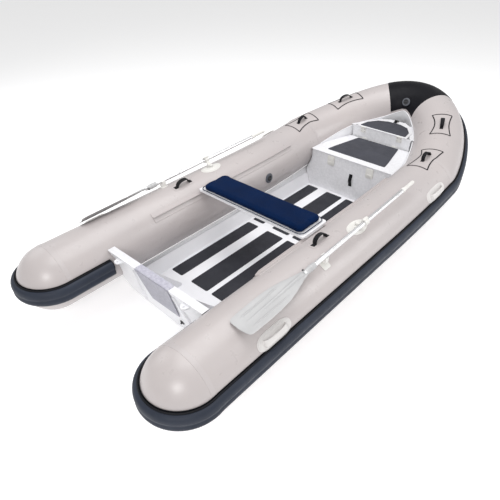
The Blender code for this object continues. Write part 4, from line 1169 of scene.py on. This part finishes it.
def blade_rings(place, neck, tip):
    rings = []
    rows = spread(neck + 0.005, tip + 0.026, 56) + [tip + 0.020, tip + 0.014, tip + 0.009, tip + 0.005,
            tip + 0.002, tip]
    for along in rows:
        end = max(0.0, (tip + 0.026 - along) / 0.026)
        half = blade_half(along, neck, tip) - 0.026 * (1 - sqrt(max(0.0, 1 - end * end)))
        down = (neck - along) / (neck - tip)
        thick = 0.0165 * (1 - min(1.0, max(0.0, down) / 0.13)) ** 1.4 + 0.0040
        bowl = -0.006 * min(1.0, max(0.0, (down - 0.25) / 0.4))
        spine = 0.0085 * (1 - min(1.0, max(0.0, (down - 0.15) / 0.72))) ** 0.8 + 0.0018
        spine *= min(1.0, max(0.0, (0.90 - down) / 0.02))
        rib = 0.0048 * min(1.0, max(0.0, (down - 0.40) / 0.03)) * min(1.0, max(0.0, (0.89 - down) / 0.02))
        top, under = [], []
        for a in ACROSS:
            x = a * half
            dish = bowl * (1 - abs(a) ** 1.6)
            rise = thick * sqrt(max(0.0, 1 - abs(a) ** 6)) if down > 0.13 else thick * sqrt(max(0.0,
                    1 - a * a))
            ridge = spine * max(0.0, 1 - (x / (0.0135 - 0.006
                    * down)) ** 2) ** 0.6 if abs(x) < 0.0135 - 0.006 * down else 0.0
            beside = max(0.0, 1 - ((abs(x) - 0.55 * 0.078) / 0.0042) ** 2) * rib if half > 0.055 else 0.0
            top.append(place @ Vector((x, along, dish + rise * 0.5 + (ridge + beside)
                    * (1 if down > 0.1 else 0.3))))
            under.append(place @ Vector((x, along, dish - rise * 0.5)))
        rings.append(top + under[-2:0:-1])
    return rings


for side, lock_x, lock_y, yaw, inner, feather in (("starboard", 0.715, 1.415, 0.0, 0.61, 0.0),
        ("port", -0.665, 1.380, radians(-1.8), 0.66, radians(-40))):
    body = side + "_oar"
    sign = 1 if side == "starboard" else -1
    place = oar_frame((lock_x, lock_y, LOCK_Z), yaw)
    ahead = (place.to_3x3() @ Vector((0, 1, 0))).normalized()
    zero = place @ Vector((0, 0, 0))
    tip = inner - OAR_LENGTH
    neck = tip + BLADE_LENGTH
    piece = turned("shaft_" + side, zero, ahead, [(neck - 0.05, SHAFT_R * 0.8), (neck - 0.049, SHAFT_R),
            (inner - 0.13, SHAFT_R), (inner - 0.128, SHAFT_R * 0.8)], "bare_aluminium", 40)
    belongs(piece, "bare_aluminium", "oar_shaft_" + side, body=body)
    piece = turned("grip_" + side, zero, ahead, [(inner - 0.150, 0.0150), (inner - 0.148, 0.0160),
            (inner - 0.124, 0.0160), (inner - 0.122, 0.0125), (inner - 0.060, 0.0118),
            (inner - 0.012, 0.0128), (inner - 0.004, 0.0128), (inner, 0.0090)], "light_plastic", 40)
    belongs(piece, "light_plastic", "oar_grip_" + side, body=body)
    blade = skin("blade_" + side, blade_rings(place @ Matrix.Rotation(feather, 4, "Y"), neck, tip),
            "oar_plastic", 50.0)
    belongs(blade, "grey_plastic", "oar_blade_" + side, body=body)
    socket = turned("blade_socket_" + side, zero, ahead, [(neck - 0.035, 0.0150), (neck - 0.010, 0.0178),
            (neck + 0.004, 0.0186), (neck + 0.006, 0.0200), (neck + 0.012, 0.0200), (neck + 0.014, 0.0182),
            (neck + 0.040, 0.0178), (neck + 0.046, 0.0168), (neck + 0.048, 0.0140)], "oar_plastic", 40)
    belongs(socket, "grey_plastic", body=body)
    stub = turned("blade_stud_" + side, place @ Vector((-0.017 * sign, neck - 0.030, 0.0)),
            place.to_3x3() @ Vector((-sign, 0, 0)), [(0.0, 0.0055), (0.009, 0.0055), (0.010, 0.0045)],
            "black_plastic", 20)
    belongs(stub, "black_plastic", body=body)

    pivot_x = lock_x - 0.052 * sign
    top = 0.2235
    collar = turned("lock_collar_" + side, zero, ahead, [(-0.0165, 0.0150), (-0.0165, 0.0200),
            (-0.0145, 0.0222), (-0.010, 0.0228), (0.010, 0.0228), (0.0145, 0.0222), (0.0165, 0.0200),
            (0.0165, 0.0150)], "light_plastic", 40)
    reach = lock_x - pivot_x
    arm = []
    for along, low, high, wide in ((-0.28, top + 0.0010, top + 0.012, 0.008),
            (-0.20, top + 0.0006, top + 0.0145, 0.0125), (0.0, top + 0.0006, top + 0.016, 0.0150),
            (0.22, top + 0.0010, top + 0.0175, 0.0160), (0.42, top + 0.0035, top + 0.024, 0.0150),
            (0.62, LOCK_Z - 0.026, LOCK_Z - 0.002, 0.0130), (0.85, LOCK_Z - 0.022, LOCK_Z + 0.004, 0.0110),
            (1.0, LOCK_Z - 0.018, LOCK_Z + 0.004, 0.0100)):
        x = pivot_x + reach * along
        middle, tall = (low + high) / 2, (high - low) / 2
        arm.append([Vector((x, lock_y + wide * c, middle + tall * n)) for c,
                n in (squared(t, 0.55) for t in turns(16))])
    arm = skin("lock_arm_" + side, arm, "light_plastic", 45.0)
    cap = turned("lock_cap_" + side, (pivot_x, lock_y, top + 0.013), (0, 0, 1),
            [(0.0, 0.0115), (0.004, 0.0115), (0.0055, 0.0100), (0.0060, 0.0050)], "light_plastic", 28)
    wing = slab("lock_wing_" + side, rounded(0.009, 0.024, 0.008, 6), -0.003, 0.003, "light_plastic",
            0.0014, Matrix.Translation((lock_x - 0.004 * sign, lock_y, LOCK_Z + 0.0235)))
    belongs(joined("lock_swivel_" + side, [collar, arm, cap, wing]), "light_plastic", "oarlock_" + side,
            body=body)

    angle = degrees(acos((abs(pivot_x) - HALF_SPACING) / TUBE_R))
    seat = place_on(lock_y, angle, sign)
    oval = lambda s, a, b: b * sqrt(max(0.0, 1 - (s / a) ** 2)) + 0.001
    rows = [0.0915 * sin(radians(a)) for a in spread(-90, 90, 32)]
    parts = [glued("lock_pad_a_" + side, seat, rows, lambda s: oval(s, 0.092, 0.050), 0.0020,
            "light_plastic", 16), glued("lock_pad_b_" + side, seat, [r * 0.86 for r in rows],
            lambda s: oval(s, 0.0792, 0.041), 0.0042, "light_plastic", 16)]
    boss = turned("lock_boss_" + side, (pivot_x, lock_y, 0.2095), (0, 0, 1),
            [(0.0, 0.026), (0.004, 0.0245), (0.0065, 0.019), (0.0090, 0.0165), (top - 0.2095, 0.0150)],
            "light_plastic", 40)
    belongs(joined("lock_base_" + side, parts + [boss]), "light_plastic", "oarlock_base_" + side)

    rest = place @ Vector((0, -0.42, 0))
    reach = abs(rest.x)
    foot = degrees(acos((reach - HALF_SPACING) / TUBE_R))
    seat = place_on(rest.y, foot, sign)
    pad = glued("rest_pad_" + side, seat, eased_rows(0.030, 0.012, 6),
            lambda s: 0.031 - corner_cut(s, 0.030, 0.012), 0.0030, "light_plastic", 10)
    block = []
    for y in spread(rest.y - 0.014, rest.y + 0.014, 2):
        ring = []
        for dx, z in ((-0.023, 0.2065), (0.014, 0.2035), (0.0145, rest.z - 0.004),
                (0.0128, rest.z - 0.0065), (0.0095, rest.z - 0.0118), (0.0, rest.z - 0.0150),
                (-0.0095, rest.z - 0.0118), (-0.0142, rest.z - 0.004), (-0.0150, rest.z + 0.004),
                (-0.0170, rest.z + 0.0062), (-0.0205, rest.z + 0.0055), (-0.0225, rest.z + 0.001)):
            ring.append(Vector((sign * (reach + dx), y, z)))
        block.append(ring)
    block = skin("rest_block_" + side, block, "light_plastic", 35.0)
    belongs(joined("oar_cradle_" + side, [pad, block]), "light_plastic", "oar_rest_" + side)


# ---- Valves ---------------------------------------------------------------
def valve(name, node, body, seat, out, flange):
    ring = turned(name + "_flange", seat, out, [(-0.010, flange - 0.004), (0.0002, flange - 0.001),
            (0.0012, flange), (0.0026, flange - 0.0004), (0.0036, flange - 0.003), (0.0040, flange - 0.007),
            (0.0058, flange - 0.009), (0.0066, 0.0300), (0.0070, 0.0262), (0.0066, 0.0245),
            (0.0030, 0.0240)], "valve_plastic", 48)
    belongs(ring, "grey_plastic", node)
    lid = turned(name + "_lid", seat, out, [(0.0028, 0.0228), (0.0086, 0.0232), (0.0098, 0.0222),
            (0.0102, 0.0195), (0.0094, 0.0180), (0.0092, 0.0060)], "black_plastic", 48)
    side, up = across(out)
    rings = []
    for t in spread(-1.0, 1.0, 12):
        half = 0.0034 + 0.0016 * abs(t) ** 2
        high = 0.0166 - 0.0040 * abs(t) ** 3
        ring = []
        for w, h in ((-half, 0.0088), (half, 0.0088), (half * 0.9, high - 0.001), (half * 0.5, high),
                (-half * 0.5, high), (-half * 0.9, high - 0.001)):
            ring.append(Vector(seat) + out * h + side * (0.0182 * t) + up * w)
        rings.append(ring)
    bar = skin(name + "_bar", rings, "black_plastic", 50.0)
    belongs(joined(name + "_cap", [lid, bar]), "black_plastic", node + "_cap", body=body)


SIDE_VALVE = (1.822, 176.5)
STEM_VALVE = (BOW_START + 1.0, 157.0)
seat = on_tube(*SIDE_VALVE, 0.0008)
out = normal_at(*SIDE_VALVE)
valve("side_valve_starboard", "valve_starboard", "starboard_cap", seat, out, 0.042)
valve("side_valve_port", "valve_port", "port_cap", Vector((-seat.x, seat.y, seat.z)),
        Vector((-out.x, out.y, out.z)), 0.042)
out = normal_at(*STEM_VALVE)
valve("stem_valve", "valve_bow", "bow_cap", on_tube(*STEM_VALVE, 0.0125), out, 0.036)
belongs(turned("stem_valve_seat", on_tube(*STEM_VALVE, -0.004), out,
        [(0.0, 0.046), (0.008, 0.043), (0.0135, 0.036), (0.0145, 0.026)], "black_fabric", 48),
        "black_fabric")


# ---- Floor and light ------------------------------------------------------
def ground():
    mesh = bpy.data.meshes.new("ground")
    mesh.from_pydata([(-30, -30, 0), (30, -30, 0), (30, 30, 0), (-30, 30, 0)], [], [(0, 1, 2, 3)])
    floor = bpy.data.objects.new("ground", mesh)
    bpy.context.scene.collection.objects.link(floor)
    made = bpy.data.materials.new("ground")
    made.use_nodes = True
    shader = made.node_tree.nodes["Principled BSDF"]
    shader.inputs["Base Color"].default_value = (0.93, 0.93, 0.935, 1.0)
    shader.inputs["Roughness"].default_value = 0.85
    shader.inputs["Specular IOR Level"].default_value = 0.1
    shader.inputs["Emission Color"].default_value = (1.0, 1.0, 1.0, 1.0)
    shader.inputs["Emission Strength"].default_value = 0.30
    mesh.materials.append(made)
    floor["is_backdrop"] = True


def softbox(name, spot, target, size, power, tone=(1.0, 1.0, 1.0)):
    data = bpy.data.lights.new(name, "AREA")
    data.shape = "RECTANGLE"
    data.size, data.size_y = size
    data.energy = power
    data.color = tone
    lamp = bpy.data.objects.new(name, data)
    bpy.context.scene.collection.objects.link(lamp)
    lamp.location = spot
    lamp.rotation_mode = "QUATERNION"
    lamp.rotation_quaternion = (Vector(target) - Vector(spot)).to_track_quat("-Z", "Y")


ground()
world = bpy.data.worlds.new("studio")
bpy.context.scene.world = world
world.use_nodes = True
world.node_tree.nodes["Background"].inputs["Color"].default_value = (1.0, 1.0, 1.0, 1.0)
world.node_tree.nodes["Background"].inputs["Strength"].default_value = 0.50
softbox("overhead", (-0.2, 0.2, 4.6), (0.0, 0.0, 0.3), (3.4, 4.6), 135.0)
softbox("key", (3.6, -6.2, 4.8), (0.1, -0.6, 0.3), (2.4, 2.4), 215.0, (1.0, 0.99, 0.98))
softbox("bow", (4.6, 3.4, 3.0), (0.3, 1.4, 0.4), (2.6, 2.6), 80.0)
softbox("fill", (-4.4, -1.6, 3.0), (0.0, 0.0, 0.2), (3.0, 3.0), 36.0, (0.97, 0.98, 1.0))
bpy.context.scene.view_settings.view_transform = "Standard"

low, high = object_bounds()
{"cad": [list(CAD_BOX[0]), list(CAD_BOX[1])], "visual": [list(low), list(high)]}
